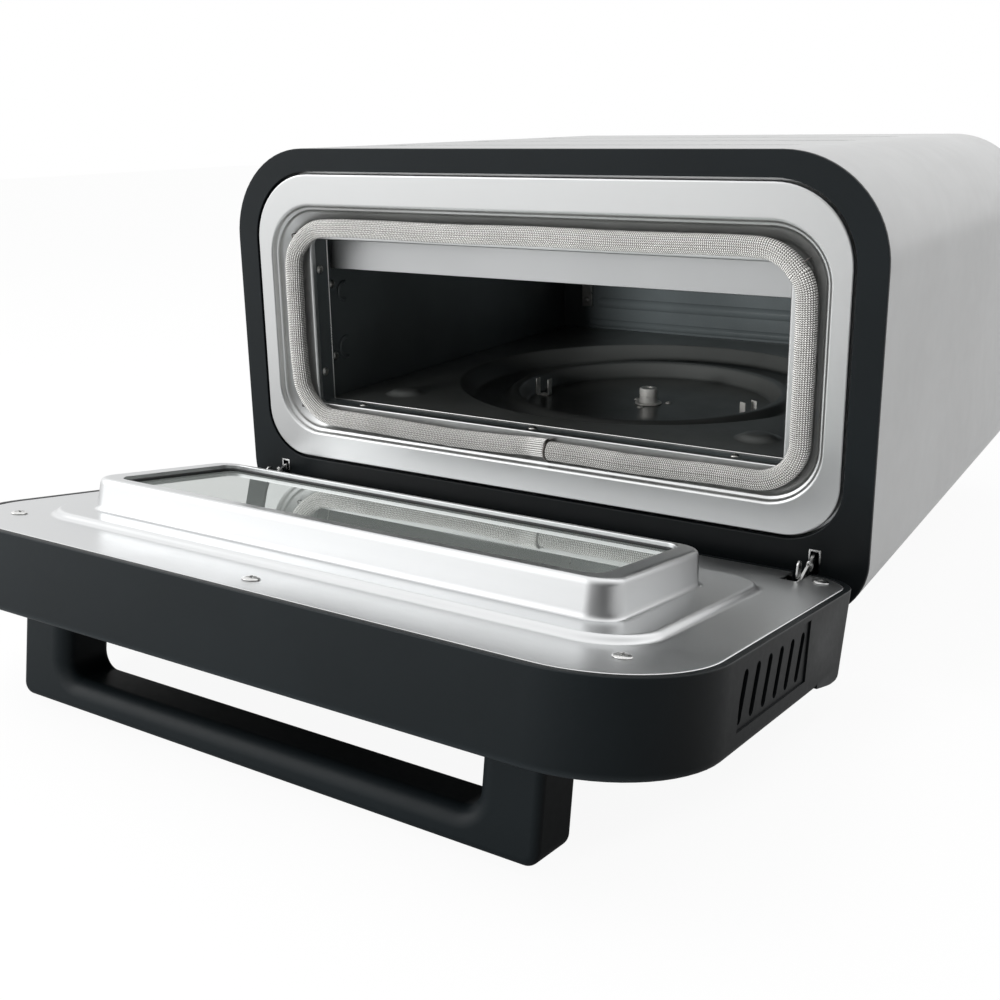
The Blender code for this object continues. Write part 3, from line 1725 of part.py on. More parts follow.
def make_start_button(holder):
    """Round push button in the middle of the control band."""
    bottom = switch_top + button_travel + fit_gap
    profile = (
        (0.0, bottom),
        (button_radius, bottom),
        (button_radius, button_stand_out - button_edge),
        (button_radius - button_edge, button_stand_out),
        (0.0, button_stand_out),
    )
    return add_object("start_button", turned(profile), holder, pressed_steel, smooth=True)


make_outer_casing()
make_front_frame()
make_front_panel()
make_opening_collar()
make_cavity_liner()
make_floor_pan()
make_ceiling_baffle()
make_door_gasket()
make_gasket_clip()
make_base_plate()
make_rear_cover()
make_cord_gland()
make_insulation_blanket()
make_upper_element()
make_lower_element()
make_centre_post()
make_thermal_cutout()
make_terminal_block()
make_door_cover()
make_door_inner_panel()
make_inner_glass()
make_glass_clamp()
make_outer_glass()
make_door_handle()
make_control_board()
for hand, side in (("left", -1), ("right", 1)):
    make_stone_bracket("stone_bracket_" + hand, side)
    make_hinge_arm("hinge_arm_" + hand, side)
    make_foot("foot_front_" + hand, side * foot_x, foot_front_y)
    make_foot("foot_back_" + hand, side * foot_x, foot_back_y)
    make_link_guide("link_guide_" + hand, side)
    make_handle_screw("handle_screw_" + hand, side)
    make_hinge_bracket("hinge_bracket_" + hand, side)
    make_hinge_pin("hinge_pin_" + hand, side)
    make_link_pin("link_pin_" + hand, side)
    link_holder = Holder(
        add_empty("link_axis_" + hand, link_empty_place, door_empty, link_turn), (0.0, 0.0, 0.0)
    )
    make_link("link_" + hand, link_holder, side)
    make_link_spring("link_spring_" + hand, link_holder, side)
for place, across, up in screw_places:
    make_panel_screw("panel_screw_" + place, across, up)
for name, side in (("temperature", -1), ("timer", 1)):
    knob_empty = add_empty(name + "_axis", (side * knob_x, 0.0, 0.0), control_empty)
    knob_holder = Holder(knob_empty, (0.0, 0.0, 0.0))
    make_knob(name + "_knob", knob_holder)
    make_knob_shaft(name + "_shaft", knob_holder)
make_start_button(controls)
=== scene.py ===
"""Looks of a table-top electric pizza oven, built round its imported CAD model. Metres, +Z up."""

from collections import namedtuple
from math import atan2, cos, hypot, pi, radians, sin, sqrt

import bmesh
import bpy
from mathutils import Matrix, Vector, noise


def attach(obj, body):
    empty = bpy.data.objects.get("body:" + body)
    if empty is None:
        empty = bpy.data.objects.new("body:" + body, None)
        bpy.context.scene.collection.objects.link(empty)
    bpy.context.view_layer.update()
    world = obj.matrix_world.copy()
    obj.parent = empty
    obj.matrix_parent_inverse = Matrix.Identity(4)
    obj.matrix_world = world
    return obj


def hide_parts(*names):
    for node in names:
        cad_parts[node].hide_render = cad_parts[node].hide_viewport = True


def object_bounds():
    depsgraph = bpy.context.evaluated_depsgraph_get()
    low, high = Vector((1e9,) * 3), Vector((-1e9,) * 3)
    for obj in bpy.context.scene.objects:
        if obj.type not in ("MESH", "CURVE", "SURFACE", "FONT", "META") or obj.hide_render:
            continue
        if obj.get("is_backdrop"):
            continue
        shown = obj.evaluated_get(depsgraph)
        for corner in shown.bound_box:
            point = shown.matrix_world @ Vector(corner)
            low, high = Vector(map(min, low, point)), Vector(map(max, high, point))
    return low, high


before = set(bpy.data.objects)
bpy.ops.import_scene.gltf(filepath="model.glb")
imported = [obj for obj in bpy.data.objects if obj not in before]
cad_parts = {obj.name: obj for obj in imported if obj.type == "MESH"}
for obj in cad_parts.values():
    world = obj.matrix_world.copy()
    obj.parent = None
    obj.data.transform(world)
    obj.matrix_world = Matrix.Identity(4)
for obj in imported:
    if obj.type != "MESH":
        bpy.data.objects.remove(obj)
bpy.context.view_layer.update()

# Outer casing
# One sheet of steel bent round the top, sides and underside and painted satin silver-grey.
# Three long channels are pressed across its top, and a window in its underside is closed by
# the base plate.
oven_place = Matrix.Translation((0.0, -0.072314, 0.030))
corner_steps = 16
Shape = namedtuple("Shape", "half low high low_radius high_radius")


class Signal:
    """A shader socket that can stand in a sum: each sign used on it adds one Math node."""

    def __init__(self, finish, socket):
        self.finish = finish
        self.socket = socket

    def maths(self, operation, *terms):
        return self.finish.add("ShaderNodeMath", {"operation": operation}, terms)

    def __add__(self, other):
        return self.maths("ADD", self, other)

    def __sub__(self, other):
        return self.maths("SUBTRACT", self, other)

    def __rsub__(self, other):
        return self.maths("SUBTRACT", other, self)

    def __mul__(self, other):
        return self.maths("MULTIPLY", self, other)

    def __pow__(self, other):
        return self.maths("POWER", self, other)

    def __gt__(self, other):
        return self.maths("GREATER_THAN", self, other)

    __radd__ = __add__
    __rmul__ = __mul__

    def sine(self):
        return self.maths("SINE", self)

    def size(self):
        return self.maths("ABSOLUTE", self)

    def eased(self, low, high):
        """0 below low, 1 above high, with a smooth step between."""
        ends = {"Value": self, "From Min": low, "From Max": high}
        return self.finish.add("ShaderNodeMapRange", {"interpolation_type": "SMOOTHSTEP"}, ends)


class Nodes:
    """A node tree that is written as sums and calls."""

    def __init__(self, tree):
        self.tree = tree

    def add(self, kind, settings=(), values=(), output=0):
        """Any node: its settings first, then the values or links of its sockets."""
        node = self.tree.nodes.new(kind)
        for name, value in dict(settings).items():
            if name == "stops":
                while len(node.color_ramp.elements) < len(value):
                    node.color_ramp.elements.new(0.5)
                for stop, (where, shade) in zip(node.color_ramp.elements, value):
                    stop.position = where
                    stop.color = (*shade, 1.0)
            else:
                setattr(node, name, value)
        for key, value in values.items() if isinstance(values, dict) else enumerate(values):
            if isinstance(value, Signal):
                self.tree.links.new(value.socket, node.inputs[key])
            else:
                node.inputs[key].default_value = value
        return Signal(self, node.outputs[output])


class Finish(Nodes):
    """One material: its Principled shader, and the patterns that feed it."""

    def __init__(self, name, colour, roughness, metallic=0.0, **fixed):
        self.material = bpy.data.materials.new(name)
        self.material.use_nodes = True
        super().__init__(self.material.node_tree)
        self.shader = self.tree.nodes["Principled BSDF"]
        self.colour = (*colour, 1.0)
        self.shader.inputs["Base Color"].default_value = self.colour
        self.shader.inputs["Roughness"].default_value = roughness
        self.shader.inputs["Metallic"].default_value = metallic
        for socket, value in fixed.items():
            self.shader.inputs[socket.replace("_", " ")].default_value = value
        self.place = self.add("ShaderNodeTexCoord", output="Object")

    def stretched(self, scale):
        return self.add("ShaderNodeMapping", {}, {"Vector": self.place, "Scale": scale})

    def grain(self, scale, detail=2.0, at=None):
        """Soft noise from 0 to 1 with about that many grains a metre."""
        values = {"Vector": at or self.place, "Scale": scale, "Detail": detail}
        return self.add("ShaderNodeTexNoise", {}, values)

    def mixed(self, share, first, second):
        """The first colour, or the second where share is 1."""
        node = self.tree.nodes.new("ShaderNodeMix")
        node.data_type = "RGBA"
        for key, value in ((0, share), (6, first), (7, second)):
            if isinstance(value, Signal):
                self.tree.links.new(value.socket, node.inputs[key])
            else:
                node.inputs[key].default_value = (*value, 1.0)[:4]
        return Signal(self, node.outputs[2])

    def feed(self, name, signal):
        self.tree.links.new(signal.socket, self.shader.inputs[name])
        return self

    def relief(self, height, distance, strength=1.0):
        """Fine surface relief, with its height in metres."""
        values = {"Height": height, "Distance": distance, "Strength": strength}
        return self.feed("Normal", self.add("ShaderNodeBump", {}, values))


def painted(name, colour, roughness, metallic, patch, peel):
    """Stoved paint: faint clouds of shade, fine orange peel, and rubbed edges."""
    finish = Finish(name, colour, roughness, metallic)
    clouds = finish.grain(9.0, 3.0).eased(0.3, 0.7)
    lighter = tuple(shade * (1 + patch) for shade in colour)
    darker = tuple(shade * (1 - patch) for shade in colour)
    body_shade = finish.mixed(clouds, darker, lighter)
    wear_and_sheen_mask = finish.add("ShaderNodeAttribute", {"attribute_name": "rub"}, output="Fac")
    scuffs = wear_and_sheen_mask * finish.grain(420.0, 4.0).eased(0.48, 0.66)
    bare = tuple(min(shade * 1.5 + 0.05, 1.0) for shade in colour)
    finish.feed("Base Color", finish.mixed(scuffs * 0.55, body_shade, bare))
    finish.feed("Roughness", finish.grain(70.0, 3.0) * 0.12 + (roughness - 0.06))
    return finish.relief(finish.grain(1500.0, 1.0), peel, 0.35)


casing_paint = painted("satin_grey_paint", (0.50, 0.505, 0.505), 0.36, 0.22, 0.03, 0.00012)


def grown(shape, distance):
    return Shape(
        shape.half + distance,
        shape.low - distance,
        shape.high + distance,
        max(shape.low_radius + distance, 0.0002),
        max(shape.high_radius + distance, 0.0002),
    )


def arc(across, up, radius, start, steps):
    turns = [radians(start + 90 * step / steps) for step in range(steps + 1)]
    return [(across + radius * cos(turn), up + radius * sin(turn)) for turn in turns]


def outline(shape, steps=corner_steps, over=(), under=()):
    """Rounded rectangle, anticlockwise from below right, with extra points along two sides."""
    half, low, high, low_radius, high_radius = shape
    return [
        *arc(half - low_radius, low + low_radius, low_radius, -90, steps),
        *arc(half - high_radius, high - high_radius, high_radius, 0, steps),
        *[(across, high) for across in sorted(over, reverse=True)],
        *arc(high_radius - half, high - high_radius, high_radius, 90, steps),
        *arc(low_radius - half, low + low_radius, low_radius, 180, steps),
        *[(across, low) for across in sorted(under)],
    ]


def skin(rings, around=False, capped=False):
    """Skin over rings of points. A ring is its (x, z) points, its y, and how much its edge is lightened: wear on
    paint, a painted highlight on steel and moulding.
    """
    mesh = bmesh.new()
    rub = mesh.verts.layers.float.new("rub")
    loops = []
    for points, depth, lighter_edge in rings:
        loop = [mesh.verts.new((across, depth, up)) for across, up in points]
        for corner in loop:
            corner[rub] = lighter_edge
        loops.append(loop)
    pairs = list(zip(loops, loops[1:]))
    if around:
        pairs.append((loops[-1], loops[0]))
    if capped:
        mesh.faces.new(loops[0])
        mesh.faces.new(loops[-1])
    for first, second in pairs:
        for index in range(len(first)):
            after = (index + 1) % len(first)
            mesh.faces.new((first[index], first[after], second[after], second[index]))
    return mesh


def settled(thing):
    """Turns what the modifiers make of an object into its plain mesh."""
    view = bpy.context.evaluated_depsgraph_get()
    view.update()
    data = bpy.data.meshes.new_from_object(
        thing.evaluated_get(view), preserve_all_data_layers=True, depsgraph=view
    )
    thing.modifiers.clear()
    thing.data = data
    return thing


def fixed(thing, body, slot, instead_of=(), angle=32, bevel=0.0):
    """Shades a finished thing and hangs it on its CAD body."""
    if bevel:
        edge = thing.modifiers.new("edge", "BEVEL")
        edge.width = bevel
        edge.segments = 2
        edge.limit_method = "ANGLE"
        edge.angle_limit = radians(40)
        edge.harden_normals = False
        settled(thing)
    thing.data.shade_smooth()
    thing.data.set_sharp_from_angle(angle=radians(angle))
    shading = thing.modifiers.new("shading", "WEIGHTED_NORMAL")
    shading.keep_sharp = True
    settled(thing)
    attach(thing, body)
    if instead_of:
        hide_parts(*instead_of)
    return thing


def piece(name, mesh, finish, body, slot, place=oven_place, wall=0.0, **fixing):
    """A finished part of the oven, made from a mesh in the coordinates of its place."""
    bmesh.ops.remove_doubles(mesh, verts=mesh.verts[:], dist=0.000002)
    bmesh.ops.recalc_face_normals(mesh, faces=mesh.faces[:])
    data = bpy.data.meshes.new(name)
    mesh.to_mesh(data)
    mesh.free()
    data.transform(place)
    data.materials.append(finish.material)
    thing = bpy.data.objects.new(name, data)
    bpy.context.scene.collection.objects.link(thing)
    if wall:
        sheet = thing.modifiers.new("sheet", "SOLIDIFY")
        sheet.thickness = wall
        sheet.offset = -1.0
        settled(thing)
    return fixed(thing, body, slot, **fixing)


casing_shape = Shape(0.230, 0.0, 0.2648, 0.0387, 0.0614)
casing_front, casing_back = 0.0025, 0.419
channel_rows = (0.081, 0.193, 0.305)
channel_reach, channel_half_width, channel_depth = 0.152, 0.009, 0.003


def channel_drop(across, along):
    """How far the top is pressed down at a point."""
    drop = 0.0
    for row in channel_rows:
        beyond = max(abs(across) - channel_reach + channel_half_width, 0.0)
        inside = channel_half_width - hypot(beyond, along - row)
        share = min(max((inside + 0.0006) / 0.0022, 0.0), 1.0)
        drop = max(drop, channel_depth * share * share * (3 - 2 * share))
    return drop


end_lines = (0.100, 0.136, 0.142, 0.1436, 0.1452, 0.1466, 0.148, 0.1492, 0.1502, 0.1510, 0.1518, 0.1527)
top_lines = sorted([0.0, *end_lines, *[-line for line in end_lines]])
casing_rings = [casing_front, casing_front + 0.002, 0.045, 0.385, casing_back - 0.002, casing_back]
for row in channel_rows:
    casing_rings += [row + 0.0104 * step / 13 for step in range(-13, 14)]
casing_rings.sort()
casing_mesh = skin(
    [
        (outline(casing_shape, 20, top_lines, (-0.150, 0.150)), depth, 0.5 * (index in (0, len(casing_rings) - 1)))
        for index, depth in enumerate(casing_rings)
    ]
)
for corner in casing_mesh.verts:
    if corner.co.z > casing_shape.high - 0.0001:
        corner.co.z -= channel_drop(corner.co.x, corner.co.y)
window_faces = []
for face in casing_mesh.faces:
    middle = face.calc_center_median()
    if middle.z < 0.001 and abs(middle.x) < 0.150 and 0.045 < middle.y < 0.385:
        window_faces.append(face)
bmesh.ops.delete(casing_mesh, geom=window_faces, context="FACES")
piece(
    "casing_sheet", casing_mesh, casing_paint, "body", "casing_paint",
    instead_of=["outer_casing"], wall=0.0012,
)

# Front frame
# Black moulded bezel that plugs into the front of the casing and hides the casing's cut edge.
# Slots low on both sides let the door's fixed arms and sliding links through.


def moulded(name, colour, roughness):
    """Moulded plastic with a fine spark-eroded texture, slightly polished edges, and a painted highlight that
    lightens the edges.
    """
    finish = Finish(name, colour, roughness, 0.0, Specular_IOR_Level=0.20)
    wear_and_sheen_mask = finish.add("ShaderNodeAttribute", {"attribute_name": "rub"}, output="Fac")
    clouds = finish.grain(14.0, 4.0).eased(0.35, 0.7)
    darker = tuple(shade * 0.86 for shade in colour)
    # painted highlight: a lighter copy of the colour, laid along the edges
    lighter_edge = tuple(shade * 2.2 + 0.010 for shade in colour)
    shade = finish.mixed(clouds, darker, colour)
    finish.feed("Base Color", finish.mixed(wear_and_sheen_mask * 0.5, shade, lighter_edge))
    polish = wear_and_sheen_mask * 0.10
    finish.feed("Roughness", finish.grain(240.0, 3.0) * 0.10 + (roughness - 0.05) - polish)
    pits = finish.grain(3800.0, 2.0) + finish.grain(1700.0, 1.0) * 0.6
    return finish.relief(pits, 0.00006, 0.5)


black_shell = moulded("black_moulding", (0.0046, 0.0064, 0.0074), 0.44)

frame_wall = 0.0025
panel_shape = Shape(0.2114, 0.0479, 0.2481, 0.033, 0.0463)
frame_opening = grown(panel_shape, 0.0016)


def lined(keys, steps=5, corners=corner_steps):
    """Rings through keys of shape, depth and bend, each corner rounded by its bend."""
    places = [(*shape, depth) for shape, depth, _ in keys]
    rings = []

    def partway(here, there, bend):
        change = [b - a for a, b in zip(here, there)]
        run = hypot(max(abs(step) for step in change[:3]), change[5])
        share = min(bend / run, 0.5)
        return [a + share * step for a, step in zip(here, change)]

    for index, here in enumerate(places):
        bend = keys[index][2]
        if not bend:
            rings.append((outline(Shape(*here[:5]), corners), here[5], 0.0))
            continue
        start = partway(here, places[index - 1], bend)
        end = partway(here, places[(index + 1) % len(places)], bend)
        for step in range(steps + 1):
            t = step / steps
            point = [
                a * (1 - t) ** 2 + b * 2 * t * (1 - t) + c * t * t
                for a, b, c in zip(start, here, end)
            ]
            # the last value lightens the middle of each bend: wear on paint, a painted highlight on steel and
            # moulding
            rings.append((outline(Shape(*point[:5]), corners), point[5], 1 - abs(2 * t - 1)))
    return rings


def carved(mesh, cutters, operation="DIFFERENCE"):
    """The mesh with each cutter taken away from it, or joined to it."""
    objects = []
    for source in (mesh, *cutters):
        bmesh.ops.recalc_face_normals(source, faces=source.faces[:])
        data = bpy.data.meshes.new("blank")
        source.to_mesh(data)
        source.free()
        thing = bpy.data.objects.new("blank", data)
        bpy.context.scene.collection.objects.link(thing)
        objects.append(thing)
    blank = objects[0]
    for cutter in objects[1:]:
        change = blank.modifiers.new("change", "BOOLEAN")
        change.operation = operation
        change.solver = "EXACT"
        change.object = cutter
    settled(blank)
    result = bmesh.new()
    result.from_mesh(blank.data)
    for thing in objects:
        bpy.data.objects.remove(thing)
    return result


def block(left, right, front, back, low, high):
    """A plain box for cutting with."""
    mesh = bmesh.new()
    bmesh.ops.create_cube(mesh, size=1.0)
    middle = ((left + right) / 2, (front + back) / 2, (low + high) / 2)
    size = Matrix.Diagonal((right - left, back - front, high - low, 1.0))
    mesh.transform(Matrix.Translation(middle) @ size)
    return mesh


spigot = grown(casing_shape, -0.0015)
frame_rings = lined(
    [
        (casing_shape, 0.0, 0.0018),
        (casing_shape, 0.0022, 0.0),
        (spigot, 0.0022, 0.0),
        (spigot, 0.012, 0.0),
        (grown(spigot, -frame_wall), 0.012, 0.0),
        (grown(spigot, -frame_wall), frame_wall, 0.0),
        (grown(frame_opening, frame_wall), frame_wall, 0.0),
        (grown(frame_opening, frame_wall), 0.010, 0.0),
        (frame_opening, 0.010, 0.0),
        (frame_opening, 0.0, 0.0009),
    ]
)
frame_slots = []
for side in (-1, 1):
    for near, far, low, high in ((0.1908, 0.2036, 0.0065, 0.022), (0.1968, 0.2018, 0.012, 0.0415)):
        left, right = sorted((side * near, side * far))
        frame_slots.append(block(left, right, -0.01, frame_wall + 0.002, low, high))
piece(
    "front_bezel", carved(skin(frame_rings, around=True), frame_slots), black_shell, "body",
    "black_shell", instead_of=["front_frame"],
)

# Front panel
# Pressed steel plate with a satin silver finish. Its rim stands level with the frame, and a
# recess with rounded walls drops back to the floor that the seal lies on.


def satin_steel(name, colour, roughness, clouds=0.5):
    """Satin rolled steel: soft smears, a grain too fine to see as lines, and a painted highlight that brightens the
    bends.
    """
    finish = Finish(name, colour, roughness, 1.0)
    grain = finish.grain(1.0, 3.0, finish.stretched((40.0, 1300.0, 1300.0)))
    smears = finish.grain(13.0, 5.0).eased(0.32, 0.72)
    wear_and_sheen_mask = finish.add("ShaderNodeAttribute", {"attribute_name": "rub"}, output="Fac")
    darker = tuple(shade * 0.93 for shade in colour)
    # painted highlight: a brighter copy of the colour, laid along the bends
    painted_bend_highlight = tuple(min(shade * 1.12, 0.97) for shade in colour)
    shade = finish.mixed(grain * 0.3 + smears * clouds, darker, colour)
    finish.feed("Base Color", finish.mixed(wear_and_sheen_mask * 0.6, shade, painted_bend_highlight))
    finish.feed("Roughness", smears * 0.07 + grain * 0.04 + (roughness - 0.06))
    return finish.relief(finish.grain(3200.0, 2.0), 0.000012, 0.5)


pressed_silver = satin_steel("pressed_silver_steel", (0.70, 0.71, 0.71), 0.36)

step_shape = Shape(0.2000, 0.0660, 0.2270, 0.034, 0.036)
mouth_shape = Shape(0.1735, 0.086, 0.203, 0.004, 0.004)
recess_depth, panel_sheet = 0.0115, 0.0010
wall_foot = grown(step_shape, -0.0122)
panel_rings = lined(
    [
        (grown(panel_shape, 0.0036), 0.0103, 0.0),
        (panel_shape, 0.0103, 0.0),
        (panel_shape, 0.0, 0.0017),
        (step_shape, 0.0, 0.0018),
        (grown(step_shape, -0.0013), 0.0032, 0.0011),
        (grown(step_shape, -0.0030), 0.0037, 0.0009),
        (grown(step_shape, -0.0040), 0.0060, 0.0014),
        (grown(step_shape, -0.0100), 0.0095, 0.0016),
        (wall_foot, recess_depth, 0.0014),
        (mouth_shape, recess_depth, 0.0019),
        (mouth_shape, recess_depth + 0.0040, 0.0),
        (grown(mouth_shape, 0.0008), recess_depth + 0.0040, 0.0),
        (grown(mouth_shape, 0.0008), recess_depth + panel_sheet, 0.0),
        (wall_foot, recess_depth + panel_sheet, 0.0),
        (grown(step_shape, -0.0036), 0.0075, 0.0),
        (grown(step_shape, panel_sheet), 0.0015 + panel_sheet, 0.0),
        (grown(panel_shape, -panel_sheet), 0.0015 + panel_sheet, 0.0),
        (grown(panel_shape, -panel_sheet), 0.0113, 0.0),
        (grown(panel_shape, 0.0036), 0.0113, 0.0),
    ],
    steps=6,
)
piece(
    "mouth_panel", skin(panel_rings, around=True), pressed_silver, "body", "pressed_steel",
    instead_of=["front_panel"],
)

# Mouth sleeve
# Dark enamelled sleeve between the front panel and the chamber. Its back edge is rolled and
# left bright, and it is held by round-headed cross-slotted screws on all four sides.
dark_enamel_colour = (0.076, 0.088, 0.091)


def enamelled(name, colour, roughness, specks):
    """Fired enamel: slow clouds, fine pale specks and a thin glassy coat."""
    finish = Finish(name, colour, roughness, 0.0, Coat_Weight=0.45, Coat_Roughness=0.2)
    clouds = finish.grain(7.0, 4.0).eased(0.3, 0.72)
    lighter = tuple(shade * 1.35 for shade in colour)
    darker = tuple(shade * 0.8 for shade in colour)
    pale = tuple(shade * 4 + 0.03 for shade in colour)
    dots = finish.grain(2300.0, 1.0).eased(0.69, 0.75) * specks
    finish.feed("Base Color", finish.mixed(dots, finish.mixed(clouds, darker, lighter), pale))
    finish.feed("Roughness", finish.grain(45.0, 3.0) * 0.16 + (roughness - 0.08))
    waves = finish.grain(130.0, 2.0) + finish.grain(1100.0, 2.0) * 0.25
    return finish.relief(waves, 0.0002, 0.35)


dark_enamel = enamelled("dark_speckled_enamel", dark_enamel_colour, 0.34, 0.22)
sleeve_shape = grown(mouth_shape, 0.0010)._replace(low_radius=0.0012, high_radius=0.0012)
sleeve_front, sleeve_back = 0.0128, 0.030
piece(
    "mouth_sleeve",
    skin(
        lined(
            [
                (sleeve_shape, sleeve_front, 0.0006),
                (sleeve_shape, sleeve_back, 0.0),
                (grown(sleeve_shape, 0.001), sleeve_back, 0.0),
                (grown(sleeve_shape, 0.001), sleeve_front + 0.001, 0.0),
                (grown(sleeve_shape, 0.011), sleeve_front + 0.001, 0.0),
                (grown(sleeve_shape, 0.011), sleeve_front, 0.0),
            ]
        ),
        around=True,
    ),
    dark_enamel, "body", "dark_enamel", instead_of=["opening_collar"],
)


def swept(points, radius, sides=10, closed=False, flat=1.0):
    """A round or flattened bar along a path, with closed ends."""
    path = [Vector(point) for point in points]
    mesh = bmesh.new()
    rings = []
    side = None
    count = len(path)
    for index, place in enumerate(path):
        ahead = path[(index + 1) % count] if closed or index + 1 < count else place
        behind = path[index - 1] if closed or index else place
        along = (ahead - behind).normalized()
        if side is None:
            side = along.orthogonal().normalized()
        side = (side - along * side.dot(along)).normalized()
        up = along.cross(side)
        ring = []
        for step in range(sides):
            turn = 2 * pi * step / sides
            ring.append(mesh.verts.new(place + radius * (side * cos(turn) + up * (flat * sin(turn)))))
        rings.append(ring)
    pairs = list(zip(rings, rings[1:]))
    if closed:
        pairs.append((rings[-1], rings[0]))
    else:
        mesh.faces.new(rings[0])
        mesh.faces.new(rings[-1])
    for first, second in pairs:
        shift = 0
        if closed and second is rings[0]:
            shift = min(
                range(sides),
                key=lambda turn: (first[0].co - second[turn % sides].co).length,
            )
        for step in range(sides):
            after = (step + 1) % sides
            mesh.faces.new(
                (first[step], first[after], second[(after + shift) % sides], second[(step + shift) % sides])
            )
    return mesh


def path_of(shape, depth, steps=corner_steps):
    return [(across, depth, up) for across, up in outline(shape, steps)]


bright_steel = satin_steel("bright_edge_steel", (0.72, 0.72, 0.71), 0.28)
piece(
    "sleeve_rolled_edge",
    swept(path_of(grown(sleeve_shape, -0.00030), sleeve_back - 0.0006), 0.00045, 8, closed=True),
    bright_steel, "body", "zinc_steel",
)

def pattern(name, sizes, build):
    """Geometry Nodes tree with named sizes, whose geometry comes from build."""
    tree = bpy.data.node_groups.new(name, "GeometryNodeTree")
    face = tree.interface
    face.new_socket("Geometry", in_out="INPUT", socket_type="NodeSocketGeometry")
    for size, value in sizes.items():
        kind = "NodeSocketInt" if isinstance(value, int) else "NodeSocketFloat"
        face.new_socket(size, in_out="INPUT", socket_type=kind).default_value = value
    face.new_socket("Material", in_out="INPUT", socket_type="NodeSocketMaterial")
    face.new_socket("Geometry", in_out="OUTPUT", socket_type="NodeSocketGeometry")
    nodes = Nodes(tree)
    given = tree.nodes.new("NodeGroupInput")
    sockets = {socket.name: Signal(nodes, socket) for socket in given.outputs if socket.name}
    whole = nodes.add("GeometryNodeRealizeInstances", {}, [build(nodes, sockets)])
    painted_whole = {"Geometry": whole, "Material": sockets["Material"]}
    done = nodes.add("GeometryNodeSetMaterial", {}, painted_whole)
    tree.links.new(done.socket, tree.nodes.new("NodeGroupOutput").inputs[0])
    return tree


def patterned(name, tree, mesh, finish, body, slot, place=oven_place, sizes=(), **fixing):
    """A piece that a Geometry Nodes tree makes from a mesh of points or lines."""
    data = bpy.data.meshes.new(name)
    mesh.to_mesh(data)
    mesh.free()
    data.transform(place)
    thing = bpy.data.objects.new(name, data)
    bpy.context.scene.collection.objects.link(thing)
    maker = thing.modifiers.new("pattern", "NODES")
    maker.node_group = tree
    given = {**dict(sizes), "Material": finish.material}
    for item in tree.interface.items_tree:
        if item.in_out == "INPUT" and item.name in given:
            maker[item.identifier] = given[item.name]
    settled(thing)
    return fixed(thing, body, slot, **fixing)


def seats(places, turn=None):
    """Points for screws: each place with the direction that its head faces."""
    mesh = bmesh.new()
    facing = mesh.verts.layers.float_vector.new("facing")
    for place, direction in places:
        corner = mesh.verts.new(place)
        corner[facing] = (turn @ Vector(direction)) if turn else Vector(direction)
    return mesh


def screw_heads(nodes, given):
    """A domed head with a cross slot on every point, each turned its own way."""
    ball = nodes.add(
        "GeometryNodeMeshUVSphere", {}, {"Segments": 24, "Rings": 14, "Radius": 1.0}
    )
    under = nodes.add("GeometryNodeMeshCube", {}, {"Size": (3.0, 3.0, 2.0)})
    under = nodes.add(
        "GeometryNodeTransform", {}, {"Geometry": under, "Translation": (0.0, 0.0, -1.1)}
    )
    slots = []
    for size in ((1.15, 0.27, 0.8), (0.27, 1.15, 0.8)):
        bar = nodes.add("GeometryNodeMeshCube", {}, {"Size": size})
        slots.append(
            nodes.add(
                "GeometryNodeTransform", {}, {"Geometry": bar, "Translation": (0.0, 0.0, 0.80)}
            )
        )
    cut = nodes.tree.nodes.new("GeometryNodeMeshBoolean")
    cut.operation = "DIFFERENCE"
    nodes.tree.links.new(ball.socket, cut.inputs["Mesh 1"])
    for cutter in (under, *slots):
        nodes.tree.links.new(cutter.socket, cut.inputs["Mesh 2"])
    size = nodes.add(
        "ShaderNodeCombineXYZ", {}, [given["Head radius"], given["Head radius"], given["Head height"]]
    )
    head = nodes.add(
        "GeometryNodeTransform", {}, {"Geometry": Signal(nodes, cut.outputs[0]), "Scale": size}
    )
    facing = nodes.add(
        "GeometryNodeInputNamedAttribute", {"data_type": "FLOAT_VECTOR"}, {"Name": "facing"}
    )
    upright = nodes.add("FunctionNodeAlignRotationToVector", {"axis": "Z"}, {"Vector": facing})
    spin = nodes.add(
        "FunctionNodeRandomValue",
        {"data_type": "FLOAT"},
        {"Max": 1.5, "Seed": 7},
        output="Value",
    )
    twist = nodes.add("FunctionNodeAxisAngleToRotation", {}, {"Angle": spin})
    turned_head = nodes.add(
        "FunctionNodeRotateRotation", {"rotation_space": "LOCAL"}, [upright, twist]
    )
    points = nodes.add("GeometryNodeMeshToPoints", {}, {"Mesh": given["Geometry"]})
    return nodes.add(
        "GeometryNodeInstanceOnPoints",
        {},
        {"Points": points, "Instance": head, "Rotation": turned_head},
    )


screws = pattern("cross_slotted_screws", {"Head radius": 0.003, "Head height": 0.0015}, screw_heads)


def plated(name, colour, roughness):
    """Zinc-plated steel: faint crystal patches, fine rolling lines and dull spots."""
    finish = Finish(name, colour, roughness, 1.0)
    crystals = finish.add(
        "ShaderNodeTexVoronoi", {}, {"Vector": finish.place, "Scale": 260.0}, output="Color"
    )
    patch = finish.add("ShaderNodeSeparateColor", {}, [crystals])
    lighter = tuple(min(shade * 1.1, 0.95) for shade in colour)
    darker = tuple(shade * 0.84 for shade in colour)
    dull = finish.grain(60.0, 4.0).eased(0.4, 0.7)
    finish.feed("Base Color", finish.mixed(patch * 0.6 + dull * 0.4, darker, lighter))
    finish.feed("Roughness", patch * 0.08 + dull * 0.12 + (roughness - 0.08))
    return finish.relief(finish.grain(900.0, 3.0), 0.00004, 0.5)


